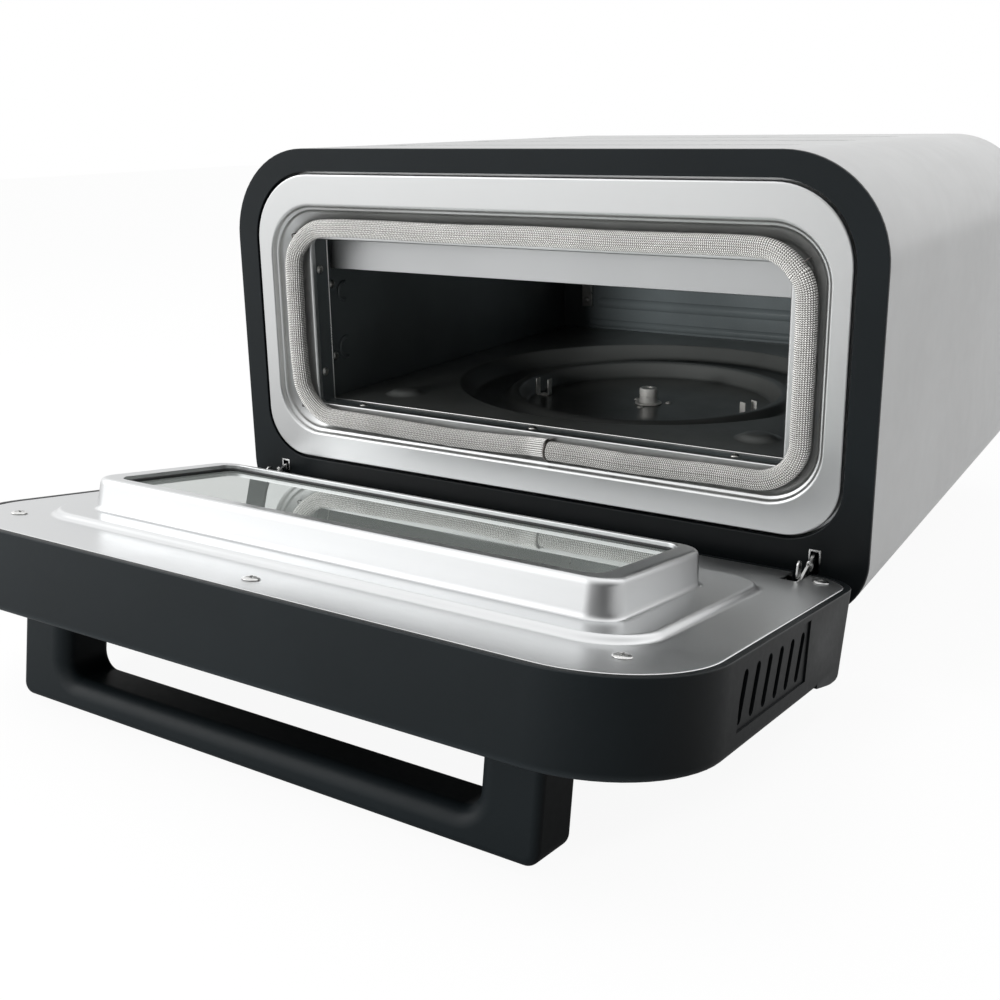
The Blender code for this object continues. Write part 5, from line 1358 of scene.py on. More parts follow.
def vent_hoods(nodes, given):
    """A pressed hood above every point, like a quarter of a long bubble."""
    ball = nodes.add("GeometryNodeMeshUVSphere", {}, {"Segments": 24, "Rings": 12, "Radius": 1.0})
    room = nodes.add("GeometryNodeMeshCube", {}, {"Size": (2.4, 1.2, 2.2)})
    room = nodes.add(
        "GeometryNodeTransform", {}, {"Geometry": room, "Translation": (0.0, 0.6, 1.05)}
    )
    cut = nodes.tree.nodes.new("GeometryNodeMeshBoolean")
    cut.operation = "INTERSECT"
    for part in (ball, room):
        nodes.tree.links.new(part.socket, cut.inputs["Mesh 2"])
    size = nodes.add(
        "ShaderNodeCombineXYZ", {}, [given["Half length"], given["Stand out"], given["Rise"]]
    )
    hood = nodes.add(
        "GeometryNodeTransform", {}, {"Geometry": Signal(nodes, cut.outputs[0]), "Scale": size}
    )
    points = nodes.add("GeometryNodeMeshToPoints", {}, {"Mesh": given["Geometry"]})
    return nodes.add("GeometryNodeInstanceOnPoints", {}, {"Points": points, "Instance": hood})


hood_maker = pattern(
    "vent_hoods", {"Half length": 0.0118, "Stand out": 0.0024, "Rise": 0.0042}, vent_hoods
)
hood_points = bmesh.new()
for height in vent_rows:
    for column in range(vent_columns):
        hood_points.verts.new(((column - (vent_columns - 1) / 2) * 0.030, cover_face - 0.0001, height + 0.0018))
patterned("rear_vent_hoods", hood_maker, hood_points, casing_paint, "body", "casing_paint", angle=50)
rear_seats = []
for across, height in ((-0.196, 0.048), (0.196, 0.048), (-0.196, 0.200), (0.196, 0.200), (0.0, 0.248), (0.0, 0.016)):
    rear_seats.append(((across, cover_face - 0.0001, height), (0, 1, 0)))
patterned(
    "rear_screws", screws, seats(rear_seats), zinc, "body", "zinc_steel",
    sizes={"Head radius": 0.0036, "Head height": 0.0020},
)
gland_profile = softened(
    [
        (0.004, 0.0028, 0), (0.0052, 0.0035, 0.0004), (0.0105, 0.0035, 0.0012), (0.012, 0.0022, 0.0008),
        (0.012, 0.0003, 0), (0.0082, 0.0003, 0), (0.0082, -0.0155, 0), (0.004, -0.0155, 0),
    ]
)
piece(
    "cord_bush", turned(gland_profile, 48), black_shell, "body", "black_shell",
    place=oven_place @ Matrix.Translation((0.150, cover_face, 0.045)) @ Matrix.Rotation(-pi / 2, 4, "X"),
    instead_of=["cord_gland"],
)

# Door hinges and links
# Plated arms fixed inside the casing reach out to the hinge pins. A spring on the tail of
# each flat link steadies the door, and the link slides through a tab on the base plate.
door_place = (
    oven_place
    @ Matrix.Translation((0.0, -0.0244, 0.0139))
    @ Matrix.Rotation(radians(80.5), 4, "X")
    @ Matrix.Translation((0.0, 0.0244, -0.0139))
)
bright_zinc = plated("bright_zinc_plate", (0.78, 0.78, 0.77), 0.24)
for hand, side in (("left", -1), ("right", 1)):
    refined("fixed_arm_" + hand, "hinge_arm_" + hand, bright_zinc, "body", "zinc_steel", bevel=0.0004)
    refined("slide_tab_" + hand, "link_guide_" + hand, zinc, "body", "zinc_steel", bevel=0.0002)
    refined("door_bracket_" + hand, "hinge_bracket_" + hand, bright_zinc, "door", "zinc_steel", bevel=0.0004)
    refined("pivot_pin_" + hand, "hinge_pin_" + hand, bright_zinc, "door", "spring_steel", bevel=0.0003)
    refined("link_rivet_" + hand, "link_pin_" + hand, bright_zinc, "door", "spring_steel", bevel=0.0002)
    refined("flat_link_" + hand, "link_" + hand, bright_zinc, hand + "_link", "zinc_steel", bevel=0.0003)
    refined(
        "tail_spring_" + hand, "link_spring_" + hand, spring_wire_finish, hand + "_link",
        "spring_steel", angle=80,
    )

for hand, side in (("left", -1), ("right", 1)):
    # a thin plated rim round the upper end of the slot that the link runs through
    rims = []
    for near, far, low, high in (
        (0.1958, 0.1968, 0.0345, 0.0426), (0.2018, 0.2028, 0.0345, 0.0426), (0.1966, 0.2020, 0.0415, 0.0426),
    ):
        left, right = sorted((side * near, side * far))
        rims.append(block(left, right, -0.0006, 0.0002, low, high))
    piece(
        "link_slot_rim_" + hand, gathered(rims), bright_zinc, "body", "zinc_steel", bevel=0.00015,
    )
    # a wire clip wound twice round the link, which stops it at the frame
    coil = []
    for step in range(61):
        turn = 4 * pi * step / 60 + 0.4
        coil.append((0.00155 * cos(turn), 0.0022 * step / 60, 0.0032 * sin(turn)))
    mesh = swept(coil, 0.0004, 10)
    mesh.transform(
        Matrix.Translation((side * 0.1989, -0.0815, 0.0648)) @ Matrix.Rotation(radians(19.3), 4, "X")
    )
    piece(
        "link_clip_" + hand, mesh, bright_zinc, hand + "_link", "spring_steel",
        place=Matrix.Identity(4), angle=80,
    )

    # the bright round-ended tongue of the link, which shows above the door's slot
    tongue = Shape(0.0029, 0.0, 0.0100, 0.0010, 0.0028)
    mesh = skin([(outline(tongue, 8), depth, 0.0) for depth in (-0.0006, 0.0006)], capped=True)
    mesh.transform(
        Matrix.Translation((side * 0.1970, -0.0948, 0.0624)) @ Matrix.Rotation(radians(-12), 4, "X")
        @ Matrix.Rotation(pi / 2, 4, "Z")
    )
    piece(
        "link_tongue_" + hand, mesh, bright_zinc, hand + "_link", "zinc_steel",
        place=Matrix.Identity(4), bevel=0.0003,
    )

# Door shell
# Deep black moulding, hollow from the inside, that carries everything in the door. Its lower
# band is thicker for the controls, both sides have a field of leaning vents, and a thin rim
# stands round the silver inner panel.
inner_face = -0.005


def at_depth(depth):
    return inner_face - depth


shell_shape = Shape(0.2293, 0.0, 0.2639, 0.0266, 0.063)
shell_thick, shell_edge, shell_slant = 0.044, 0.004, 0.167
band_extra, band_high, band_low = 0.0055, 0.0696, 0.0336


def shell_key(depth, inset, bend=0.0):
    """A key of the shell: its hinge end leans in as the door gets deeper."""
    shape = grown(shell_shape, -inset)
    return shape._replace(low=shape.low + shell_slant * depth), at_depth(depth), bend


def side_view(points, left, right):
    """A solid with the side view given in y and z."""
    mesh = bmesh.new()
    ends = [[mesh.verts.new((x, y, z)) for y, z in points] for x in (left, right)]
    for index in range(len(points)):
        after = (index + 1) % len(points)
        mesh.faces.new((ends[0][index], ends[0][after], ends[1][after], ends[1][index]))
    for end in ends:
        mesh.faces.new(end)
    return mesh


shell_blank = skin(
    lined([shell_key(0.0, 0.0012), shell_key(0.0, 0.0, 0.0008), shell_key(shell_thick, 0.0, shell_edge), shell_key(shell_thick, 0.006)][:4]),
    capped=True,
)
band_thick = shell_thick + band_extra
band_blank = skin(
    lined([shell_key(0.022, 0.0), shell_key(band_thick, 0.0, shell_edge), shell_key(band_thick, 0.006)]),
    capped=True,
)
band_view = side_view(
    [
        (at_depth(0.022), -0.01), (at_depth(0.022), band_high), (at_depth(shell_thick), band_high),
        (at_depth(band_thick), band_low), (at_depth(band_thick + 0.01), band_low),
        (at_depth(band_thick + 0.01), -0.01),
    ],
    -0.24, 0.24,
)
band_blank = carved(band_blank, [band_view], "INTERSECT")
shell_blank = carved(shell_blank, [band_blank], "UNION")
rim_width, shell_wall, shell_floor = 0.0036, 0.0025, 0.0025
hollow = skin(
    lined(
        [
            shell_key(-0.010, rim_width), shell_key(0.002, rim_width), shell_key(0.002, shell_wall),
            shell_key(shell_thick - shell_floor, shell_wall),
        ]
    ),
    capped=True,
)
door_screws = (
    ("left_top", -0.194, 0.2266), ("middle_top", 0.0, 0.2426), ("right_top", 0.191, 0.2266),
    ("left_bottom", -0.2115, 0.0192), ("right_bottom", 0.2115, 0.0192),
)


def upright(radius, front, back, across, height, steps=40):
    """A round bar along Y, for cutting or joining."""
    mesh = turned([(0.0, back - front), (radius, back - front), (radius, 0.0), (0.0, 0.0)], steps)
    mesh.transform(Matrix.Translation((across, front, height)) @ Matrix.Rotation(-pi / 2, 4, "X"))
    return mesh


pillars = [
    upright(0.005, at_depth(shell_thick - 0.00125), at_depth(0.0013), across, height)
    for _, across, height in door_screws
]
shell_blank = carved(shell_blank, [hollow])
shell_blank = carved(shell_blank, [gathered(pillars)], "UNION")
drills = [
    upright(0.0021, at_depth(0.020), at_depth(-0.01), across, height, 20)
    for _, across, height in door_screws
]
controls_place = Matrix.Translation((0.0, at_depth(0.04675), 0.0516)) @ Matrix.Rotation(
    radians(90) - atan2(band_extra, band_high - band_low), 4, "X"
)


def band_hole(across, radius):
    mesh = turned([(0.0, 0.01), (radius, 0.01), (radius, -0.01), (0.0, -0.01)], 48)
    mesh.transform(controls_place @ Matrix.Translation((across, 0.0, 0.0)))
    return mesh


for side in (-1, 1):
    drills.append(upright(0.0025, at_depth(0.054), at_depth(0.034), side * 0.1505, 0.22675, 20))
    drills.append(band_hole(side * 0.105, 0.0033))
    left, right = sorted((side * 0.1905, side * 0.2007))
    drills.append(block(left, right, at_depth(0.033), at_depth(-0.01), -0.01, 0.0276))
drills.append(band_hole(0.0, 0.0093))
window_shape = Shape(0.152, 0.098, 0.182, 0.008, 0.008)
drills.append(
    skin([(outline(window_shape), at_depth(depth), 0.0) for depth in (0.054, 0.034)], capped=True)
)
shell_blank = carved(shell_blank, [gathered(drills)])


def vent_cutter(side, low):
    """A leaning slot with round ends through one side wall."""
    points = []
    for depth, height, start in ((0.0078 + 0.0023, low, 0), (0.032 - 0.0023, low + 0.0045, 180)):
        for step in range(9):
            turn = radians(start + 180 * step / 8)
            points.append((at_depth(depth) + 0.0023 * sin(turn) * (1 if start == 0 else 1), height + 0.0023 * cos(turn)))
    return points


vents = []
for side in (-1, 1):
    reach = sorted((side * (shell_shape.half - 0.010), side * (shell_shape.half + 0.010)))
    for slot in range(6):
        low = 0.1006 + slot * 0.0157
        view = []
        for depth, height, start in ((0.0107, low, 0), (0.0291, low + 0.0045, 180)):
            for step in range(9):
                turn = radians(start + 180 * step / 8)
                view.append((at_depth(depth) + 0.0029 * sin(turn), height + 0.0029 * cos(turn)))
        vents.append(side_view(view, *reach))
fields = []
for side in (-1, 1):
    reach = sorted((side * (shell_shape.half - 0.001), side * (shell_shape.half + 0.010)))
    fields.append(
        side_view(
            [(at_depth(0.0345), 0.0925), (at_depth(0.003), 0.0925), (at_depth(0.003), 0.1875), (at_depth(0.0345), 0.1875)],
            *reach,
        )
    )
shell_blank = carved(shell_blank, [gathered(fields)])
shell_blank = carved(shell_blank, [gathered(vents)])
piece(
    "door_shell", shell_blank, black_shell, "door", "black_shell", place=door_place,
    instead_of=["door_cover"],
)

# Door inner panel
# Pressed satin steel, drawn up in one piece into a low step and a tall frame for the glass.
# Its rolled edge lies inside the shell's rim, and five cross-slotted screws hold it down.
panel_edge = grown(shell_shape, -0.0039)
panel_edge = panel_edge._replace(low=panel_edge.low + 0.0004)
low_step = Shape(0.1920, 0.0516, 0.2186, 0.020, 0.030)
raised_foot = Shape(0.1712, 0.0868, 0.1985, 0.014, 0.015)
raised_height = 0.0225
crown = grown(raised_foot, -0.0015)
glass_opening = Shape(0.158, 0.0930, 0.1885, 0.008, 0.010)
panel_keys = [
    (panel_edge, 0.0024, 0.0), (panel_edge, 0.0, 0.0016), (grown(low_step, 0.0016), 0.0, 0.0022),
    (grown(low_step, -0.0016), -0.0036, 0.0022), (grown(raised_foot, 0.0002), -0.0036, 0.0034),
    (crown, -raised_height, 0.0036), (glass_opening, -raised_height, 0.0008),
    (glass_opening, -raised_height + 0.0035, 0.0),
    (grown(glass_opening, 0.001), -raised_height + 0.0035, 0.0),
    (grown(glass_opening, 0.001), -raised_height + 0.0012, 0.0),
    (grown(crown, -0.0032), -raised_height + 0.0012, 0.0),
    (grown(crown, -0.0012), -raised_height + 0.0042, 0.0),
    (grown(raised_foot, -0.0012), -0.0050, 0.0), (grown(raised_foot, 0.0018), -0.0026, 0.0),
    (grown(low_step, -0.0024), -0.0026, 0.0), (grown(low_step, 0.0010), 0.0010, 0.0),
    (grown(panel_edge, -0.0016), 0.0010, 0.0), (grown(panel_edge, -0.0010), 0.0024, 0.0),
]
inner_keys = [(shape, at_depth(depth), bend) for shape, depth, bend in panel_keys]
notches = []
for side in (-1, 1):
    left, right = sorted((side * 0.1905, side * 0.2007))
    notches.append(block(left, right, at_depth(0.012), at_depth(-0.01), -0.01, 0.0276))
for _, across, height in door_screws:
    notches.append(upright(0.0021, at_depth(0.010), at_depth(-0.01), across, height, 20))
door_silver = satin_steel("door_silver_steel", (0.74, 0.75, 0.755), 0.33)
piece(
    "door_panel", carved(skin(lined(inner_keys, steps=6, corners=22), around=True), [gathered(notches)]),
    door_silver, "door", "pressed_steel", place=door_place, instead_of=["door_inner_panel"],
)
door_seats = []
for name, across, height in door_screws:
    door_seats.append(((across, at_depth(-0.0003), height), (0, 1, 0)))
door_turn = door_place.to_3x3()
patterned(
    "door_panel_screws", screws, seats(door_seats, door_turn), bright_zinc, "door", "zinc_steel",
    place=door_place, sizes={"Head radius": 0.0046, "Head height": 0.0011},
    instead_of=["panel_screw_" + name for name, _, _ in door_screws],
)

# Door glass
# Toughened inner glass under the lip of the raised frame, on a dark rope of sealant, pressed
# up from behind by a plated sheet frame. The outer glass behind the shell's window is smoked.
glass_finish = Finish(
    "clear_toughened_glass", (0.66, 0.71, 0.68), 0.02, 0.38, Transmission_Weight=0.45, IOR=1.6
)
smears = glass_finish.grain(9.0, 5.0).eased(0.45, 0.8)
glass_finish.feed("Roughness", smears * 0.05 + 0.015)
glass_shape = grown(glass_opening, 0.003)
glass_high = raised_height - 0.0035 - 0.0003
glass_keys = [
    (glass_shape, at_depth(-glass_high), 0.0006), (glass_shape, at_depth(0.004 - glass_high), 0.0006)
]
glass_mesh = skin(
    lined(
        [
            (grown(glass_shape, -0.002), at_depth(-glass_high), 0.0), *glass_keys,
            (grown(glass_shape, -0.002), at_depth(0.004 - glass_high), 0.0),
        ]
    ),
    capped=True,
)
piece(
    "inner_pane", glass_mesh, glass_finish, "door", "inner_glass", place=door_place,
    instead_of=["inner_glass"],
)
sealant = Finish("black_sealant", (0.02, 0.021, 0.022), 0.55)
sealant.feed("Roughness", sealant.grain(120.0, 3.0) * 0.2 + 0.42)
sealant.relief(sealant.grain(420.0, 3.0), 0.0003, 0.5)
piece(
    "glass_seal",
    swept(path_of(grown(glass_opening, -0.0006), at_depth(-glass_high - 0.0006), 16), 0.0009, 10, closed=True, flat=1.0),
    sealant, "door", "black_shell", place=door_place, angle=70,
)
refined("glass_press_frame", "glass_clamp", zinc, "door", "zinc_steel", bevel=0.0002)
smoked = Finish("smoked_glass", (0.012, 0.014, 0.015), 0.05, 0.0, Coat_Weight=0.3)
smoked.feed("Roughness", smoked.grain(9.0, 5.0).eased(0.4, 0.8) * 0.02 + 0.03)
smoked.feed(
    "Base Color", smoked.mixed(smoked.grain(30.0, 2.0).eased(0.3, 0.7), (0.010, 0.012, 0.013), (0.015, 0.017, 0.018))
)
outer_shape = Shape(0.160, 0.090, 0.190, 0.008, 0.008)
outer_mesh = skin(
    lined(
        [
            (grown(outer_shape, -0.002), at_depth(0.0412), 0.0), (outer_shape, at_depth(0.0412), 0.0005),
            (outer_shape, at_depth(0.0372), 0.0005), (grown(outer_shape, -0.002), at_depth(0.0372), 0.0),
        ]
    ),
    capped=True,
)
piece(
    "outer_pane", outer_mesh, smoked, "door", "outer_glass", place=door_place,
    instead_of=["outer_glass"],
)

# Door handle
# Broad moulded bar on two legs along the free end of the door, with rounded edges all round.
# Two long screws from inside the shell hold it.
grip_half, leg_inner, grip_low, grip_high = 0.167, 0.134, 0.2106, 0.2429
grip_root, grip_inside, grip_outside = at_depth(0.0443), at_depth(0.080), at_depth(0.0962)
grip_plan = [(grip_half, grip_root)]
for step in range(13):
    turn = radians(90 * step / 12)
    grip_plan.append((grip_half - 0.007 * (1 - cos(turn)), grip_outside + 0.007 * (1 - sin(turn))))
grip_inner_plan = []
for step in range(13):
    turn = radians(90 * step / 12)
    grip_inner_plan.append((leg_inner - 0.010 * (1 - sin(turn)), grip_inside + 0.010 * (1 - cos(turn))))
grip_inner_plan.append((leg_inner, grip_root))
grip_plan = [
    *grip_plan, *[(-across, along) for across, along in reversed(grip_plan)],
    *[(-across, along) for across, along in reversed(grip_inner_plan)], *grip_inner_plan,
]
grip_mesh = bmesh.new()
ends = [[grip_mesh.verts.new((x, y, z)) for x, y in grip_plan] for z in (grip_low, grip_high)]
for index in range(len(grip_plan)):
    after = (index + 1) % len(grip_plan)
    grip_mesh.faces.new((ends[0][index], ends[0][after], ends[1][after], ends[1][index]))
for end in ends:
    grip_mesh.faces.new(end)
bmesh.ops.recalc_face_normals(grip_mesh, faces=grip_mesh.faces[:])


def long_edges(chosen):
    """The level edges of the bar, without those at its root, that the rule picks."""
    edges = []
    for edge in grip_mesh.edges:
        first, second = (corner.co for corner in edge.verts)
        if abs(first.z - second.z) < 0.0001 and min(first.y, second.y) < grip_root - 0.0001:
            if chosen((first + second) / 2):
                edges.append(edge)
    return edges


def is_outer(middle):
    return abs(middle.x) > 0.1555 or middle.y < at_depth(0.0930)


for width, chosen in (
    (0.0092, lambda middle: middle.z > grip_high - 0.0001 and not is_outer(middle)),
    (0.0042, lambda middle: middle.z < grip_low + 0.0001 or middle.z > grip_high - 0.0001 and is_outer(middle)),
):
    bmesh.ops.bevel(
        grip_mesh, geom=long_edges(chosen), offset=width, offset_type="OFFSET", segments=8,
        profile=0.5, affect="EDGES", clamp_overlap=True,
    )
grip_holes = []
for side in (-1, 1):
    grip_holes.append(upright(0.0025, at_depth(0.0573), at_depth(0.034), side * 0.1505, 0.22675, 24))
piece(
    "door_grip", carved(grip_mesh, [gathered(grip_holes)]), black_shell, "door", "black_shell",
    place=door_place, instead_of=["door_handle"],
)
for hand in ("left", "right"):
    refined("grip_screw_" + hand, "handle_screw_" + hand, zinc, "door", "zinc_steel", bevel=0.0003)

# Controls
# Two fluted plastic knobs and a bright push button stand on the door's sloping band, in front
# of a small circuit board with the dials and the switch.
knob_finish = moulded("knob_plastic", (0.020, 0.022, 0.023), 0.42)
band_place = door_place @ controls_place


def knob_mesh():
    """Knob with a fluted skirt, a dished top and a blind bore."""
    steps = 192
    profile = softened(
        [
            (0.0, 0.0088, 0), (0.0031, 0.0088, 0), (0.0031, 0.0005, 0), (0.0136, 0.0005, 0.0003),
            (0.0150, 0.0016, 0.0006), (0.0143, 0.0108, 0.0), (0.0139, 0.0125, 0.0011), (0.0118, 0.0125, 0.0008),
            (0.0109, 0.0121, 0.0006), (0.0, 0.0121, 0),
        ]
    )
    mesh = turned(profile, steps)
    for corner in mesh.verts:
        reach = hypot(corner.co.x, corner.co.y)
        if reach > 0.0137 and 0.0012 < corner.co.z < 0.0122:
            flute = 0.0005 * (0.5 - 0.5 * cos(atan2(corner.co.y, corner.co.x) * 32))
            corner.co.x *= 1 - flute / reach
            corner.co.y *= 1 - flute / reach
    return mesh


pointer_finish = Finish("pointer_paint", (0.78, 0.78, 0.76), 0.5)
pointer_finish.feed("Roughness", pointer_finish.grain(300.0, 2.0) * 0.2 + 0.4)
pointer_finish.feed(
    "Base Color", pointer_finish.mixed(pointer_finish.grain(260.0, 2.0), (0.72, 0.72, 0.70), (0.80, 0.80, 0.78))
)
for name, side in (("temperature", -1), ("timer", 1)):
    place = band_place @ Matrix.Translation((side * 0.105, 0.0, 0.0))
    dial = name + "_dial"
    piece(
        name + "_grip", knob_mesh(), knob_finish, dial, "knob_plastic", place=place,
        instead_of=[name + "_knob"], angle=40,
    )
    pointer = skin(
        [
            (outline(Shape(0.0007, 0.0062, 0.0136, 0.0005, 0.0005), 4), -height, 0.0)
            for height in (0.0119, 0.01262)
        ],
        capped=True,
    )
    pointer.transform(Matrix.Rotation(-pi / 2, 4, "X") @ Matrix.Identity(4))
    pointer.transform(Matrix.Diagonal((1.0, 1.0, 1.0, 1.0)))
    piece(name + "_pointer", pointer, pointer_finish, dial, "knob_plastic", place=place)
    refined(name + "_spindle", name + "_shaft", zinc, dial, "zinc_steel", bevel=0.0002)
button_profile = softened(
    [
        (0.0, -0.0054, 0), (0.0084, -0.0054, 0.0004), (0.0090, -0.0050, 0), (0.0090, 0.0030, 0.0009),
        (0.0072, 0.0030, 0.0006), (0.0, 0.0024, 0),
    ]
)
piece(
    "push_button", turned(button_profile, 64), bright_steel, "button", "pressed_steel",
    place=band_place, instead_of=["start_button"],
)


def dial_marks(nodes, given):
    """Short raised bars on every point, each pointing to the middle of its dial."""
    bar = nodes.add("GeometryNodeMeshCube", {}, {"Size": (1.0, 1.0, 1.0)})
    size = nodes.add(
        "ShaderNodeCombineXYZ", {}, [given["Bar width"], given["Bar length"], given["Bar height"]]
    )
    bar = nodes.add("GeometryNodeTransform", {}, {"Geometry": bar, "Scale": size})
    out = nodes.add("GeometryNodeInputNamedAttribute", {"data_type": "FLOAT_VECTOR"}, {"Name": "facing"})
    up = nodes.add("GeometryNodeInputNamedAttribute", {"data_type": "FLOAT_VECTOR"}, {"Name": "up"})
    stand = nodes.add("FunctionNodeAlignRotationToVector", {"axis": "Z"}, {"Vector": up})
    turn = nodes.add(
        "FunctionNodeAlignRotationToVector", {"axis": "Y", "pivot_axis": "Z"}, {"Rotation": stand, "Vector": out}
    )
    points = nodes.add("GeometryNodeMeshToPoints", {}, {"Mesh": given["Geometry"]})
    return nodes.add(
        "GeometryNodeInstanceOnPoints", {}, {"Points": points, "Instance": bar, "Rotation": turn}
    )


mark_maker = pattern(
    "dial_marks", {"Bar width": 0.0007, "Bar length": 0.0028, "Bar height": 0.0003}, dial_marks
)
marks = bmesh.new()
facing = marks.verts.layers.float_vector.new("facing")
upward = marks.verts.layers.float_vector.new("up")
band_turn = band_place.to_3x3()
for side, sweep, count in ((-1, 270, 10), (1, 300, 13)):
    for step in range(count):
        turn = radians(90 - sweep * step / (count - 1))
        outward = Vector((cos(turn), sin(turn), 0.0))
        reach = 0.0178
        if abs(outward.y * reach) > 0.0165:
            pass
        corner = marks.verts.new(Vector((side * 0.105, 0.0, 0.0)) + outward * reach)
        corner[facing] = band_turn @ outward
        corner[upward] = band_turn @ Vector((0.0, 0.0, 1.0))
patterned(
    "dial_scale_marks", mark_maker, marks, pointer_finish, "door", "black_shell", place=band_place
)
board_finish = Finish("circuit_board", (0.02, 0.13, 0.06), 0.4)
tracks = board_finish.add(
    "ShaderNodeTexBrick", {}, {"Vector": board_finish.place, "Scale": 160.0, "Mortar Size": 0.02}, output="Fac"
)
board_finish.feed("Base Color", board_finish.mixed(tracks, (0.02, 0.12, 0.055), (0.05, 0.22, 0.10)))
board_finish.feed("Roughness", board_finish.grain(90.0, 2.0) * 0.15 + 0.32)
refined("control_circuit", "control_board", board_finish, "door", "circuit_board", bevel=0.0002)

# Photo table
# The oven stands on a plain pale sweep under soft lamps, seen by a camera that stands where
# the photographer's did, a little above it and to its right.


world = bpy.data.worlds.new("plain_white_room")
bpy.context.scene.world = world
world.use_nodes = True
room = Nodes(world.node_tree)
sky = world.node_tree.nodes["Background"]
sky.inputs["Color"].default_value = (1.0, 1.0, 1.0, 1.0)
rays = world.node_tree.nodes.new("ShaderNodeLightPath")
seen = Signal(room, rays.outputs["Is Camera Ray"])
mirrored = Signal(room, rays.outputs["Is Glossy Ray"])
passed = Signal(room, rays.outputs["Is Transmission Ray"])
direction = room.add("ShaderNodeTexCoord", output="Generated")


def facing(target):
    """How far a ray of the room runs towards one direction, from -1 to 1."""
    return room.add(
        "ShaderNodeVectorMath", {"operation": "DOT_PRODUCT"}, [direction, target], output="Value"
    )


window_side = facing((-0.66, 0.34, 0.67)).eased(-0.7, 0.8)
level = seen.maths("MAXIMUM", seen, passed)
front_side = facing((-0.66, -0.72, 0.22)).eased(0.70, 1.0)
back_side = facing((0.55, 0.83, 0.05)).eased(0.3, 1.0)
back_low = facing((-0.50, 0.85, 0.12)).eased(0.75, 1.0)
left_strip = facing((-0.77, -0.41, 0.49)).eased(0.93, 1.0)
mirror_level = window_side * 1.04 + front_side * 0.76 + back_side * 0.42 - back_low * 0.30 + 0.10
level = level.maths("MAXIMUM", level, mirrored * (mirror_level + left_strip * 1.4))
level = level.maths("MAXIMUM", level, window_side * 0.80 + 0.08)
world.node_tree.links.new(level.socket, sky.inputs["Strength"])

floor_finish = Finish("plain_pale_table", (0.92, 0.92, 0.92), 0.9)
floor_tree = floor_finish.tree
glow = floor_tree.nodes.new("ShaderNodeEmission")
glow.inputs["Color"].default_value = (1.0, 1.0, 1.0, 1.0)
floor_rays = floor_tree.nodes.new("ShaderNodeLightPath")
on_show = Signal(floor_finish, floor_rays.outputs["Is Camera Ray"])
in_mirrors = Signal(floor_finish, floor_rays.outputs["Is Glossy Ray"])
# Painted light: in reflections the table glows, brightest towards the far left and behind and dimmer elsewhere; to
# the camera it is evenly white.
far_left = floor_finish.add(
    "ShaderNodeVectorMath", {"operation": "DOT_PRODUCT"}, [floor_finish.place, (-0.7, -0.5, 0.0)],
    output="Value",
)
behind = floor_finish.add(
    "ShaderNodeVectorMath", {"operation": "DOT_PRODUCT"}, [floor_finish.place, (0.6, 1.0, 0.0)],
    output="Value",
)
lit = far_left.eased(0.0, 0.9).maths("MAXIMUM", far_left.eased(0.0, 0.9), behind.eased(-0.25, 0.4) * 0.7)
dimmed = 0.90 - lit * 0.85
floor_tree.links.new((1.0 - in_mirrors * dimmed).socket, glow.inputs["Strength"])
on_show = on_show.maths("MAXIMUM", on_show, in_mirrors)
on_show = on_show.maths("MAXIMUM", on_show, Signal(floor_finish, floor_rays.outputs["Is Transmission Ray"]))
blend = floor_tree.nodes.new("ShaderNodeMixShader")
floor_tree.links.new((on_show * 0.93).socket, blend.inputs["Fac"])
floor_tree.links.new(floor_finish.shader.outputs[0], blend.inputs[1])
floor_tree.links.new(glow.outputs[0], blend.inputs[2])
floor_tree.links.new(blend.outputs[0], floor_tree.nodes["Material Output"].inputs["Surface"])
floor_finish.feed("Roughness", floor_finish.grain(3.0) * 0.1 + 0.8)
floor_mesh = bmesh.new()
bmesh.ops.create_grid(floor_mesh, x_segments=8, y_segments=8, size=6.0)
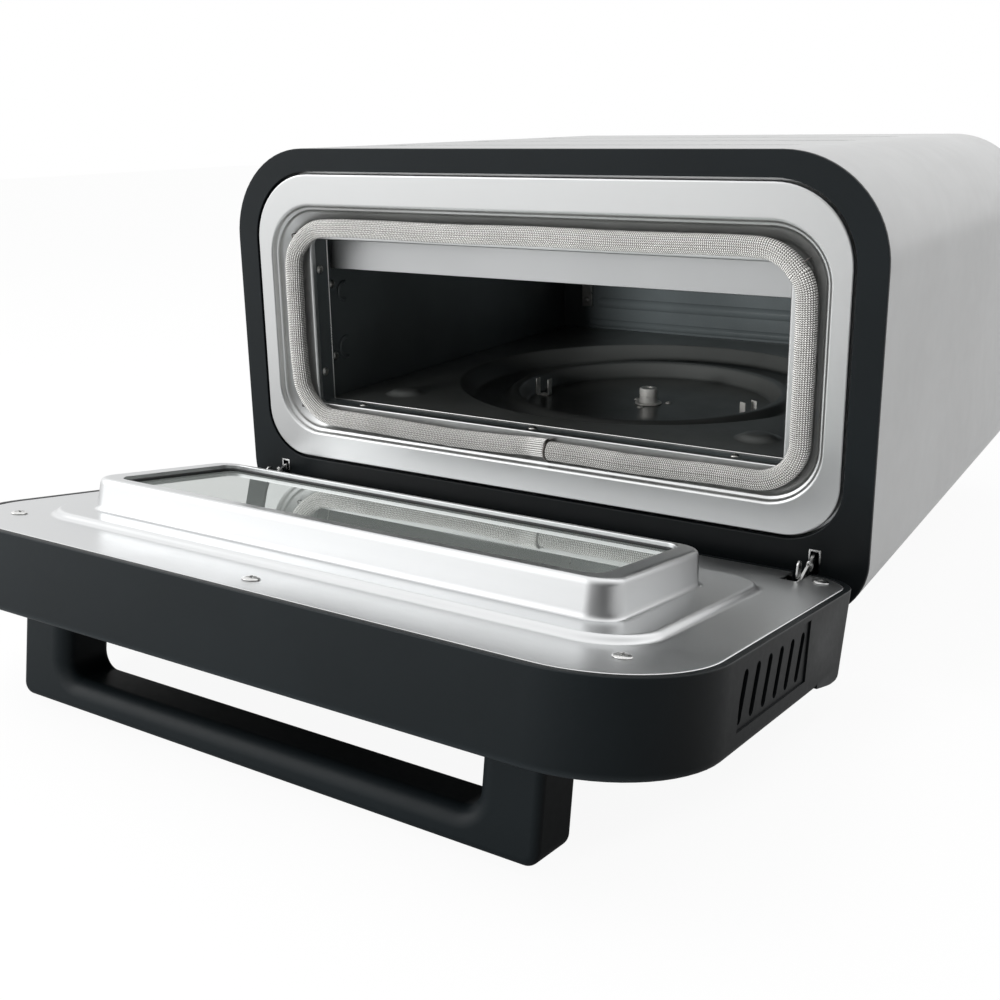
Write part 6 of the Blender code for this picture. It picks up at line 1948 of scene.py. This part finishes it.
floor_data = bpy.data.meshes.new("photo_table")
floor_mesh.to_mesh(floor_data)
floor_mesh.free()
floor_data.materials.append(floor_finish.material)
photo_table = bpy.data.objects.new("photo_table", floor_data)
bpy.context.scene.collection.objects.link(photo_table)
photo_table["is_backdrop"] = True


def lamp(name, place, target, width, watts, shines=True):
    """A square soft lamp that faces the oven; one that doesn't shine leaves no highlights."""
    data = bpy.data.lights.new(name, "AREA")
    data.size = width
    data.energy = watts
    thing = bpy.data.objects.new(name, data)
    bpy.context.scene.collection.objects.link(thing)
    thing.location = place
    aim = Vector(target) - Vector(place)
    thing.rotation_euler = aim.to_track_quat("-Z", "Y").to_euler()
    thing.visible_glossy = shines


lamp("window_lamp", (-0.9, -0.15, 1.7), (0.0, 0.0, 0.12), 1.3, 12.5, shines=False)
lamp("front_lamp", (-0.42, -1.75, 0.23), (0.1, 0.3, 0.12), 0.35, 40.0, shines=False)
lamp("rear_lamp", (1.3, 1.9, 0.9), (0.1, 0.3, 0.15), 1.2, 13.0, shines=False)

# The camera's turn, pitch and roll, and the part of the lens's picture that the photo keeps
camera_turn, camera_pitch, camera_roll = -0.5551, 0.2745, -0.0151
forward = Vector(
    (sin(camera_turn) * cos(camera_pitch), cos(camera_turn) * cos(camera_pitch), -sin(camera_pitch))
)
level_right = Vector((cos(camera_turn), -sin(camera_turn), 0.0))
level_up = level_right.cross(forward)
right = level_right * cos(camera_roll) + level_up * sin(camera_roll)
up = level_up * cos(camera_roll) - level_right * sin(camera_roll)
lens = bpy.data.cameras.new("photo_camera")
lens.sensor_width = 36.0
lens.lens = 43.47
lens.shift_x = -0.0083
lens.shift_y = -0.0431
lens.dof.use_dof = False
camera = bpy.data.objects.new("photo_camera", lens)
bpy.context.scene.collection.objects.link(camera)
turn_to = Matrix((right, up, -forward)).transposed().to_4x4()
camera.matrix_world = Matrix.Translation((0.39305, -0.716164, 0.31335)) @ turn_to
bpy.context.scene.camera = camera
bpy.context.scene.view_settings.view_transform = "Standard"

low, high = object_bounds()
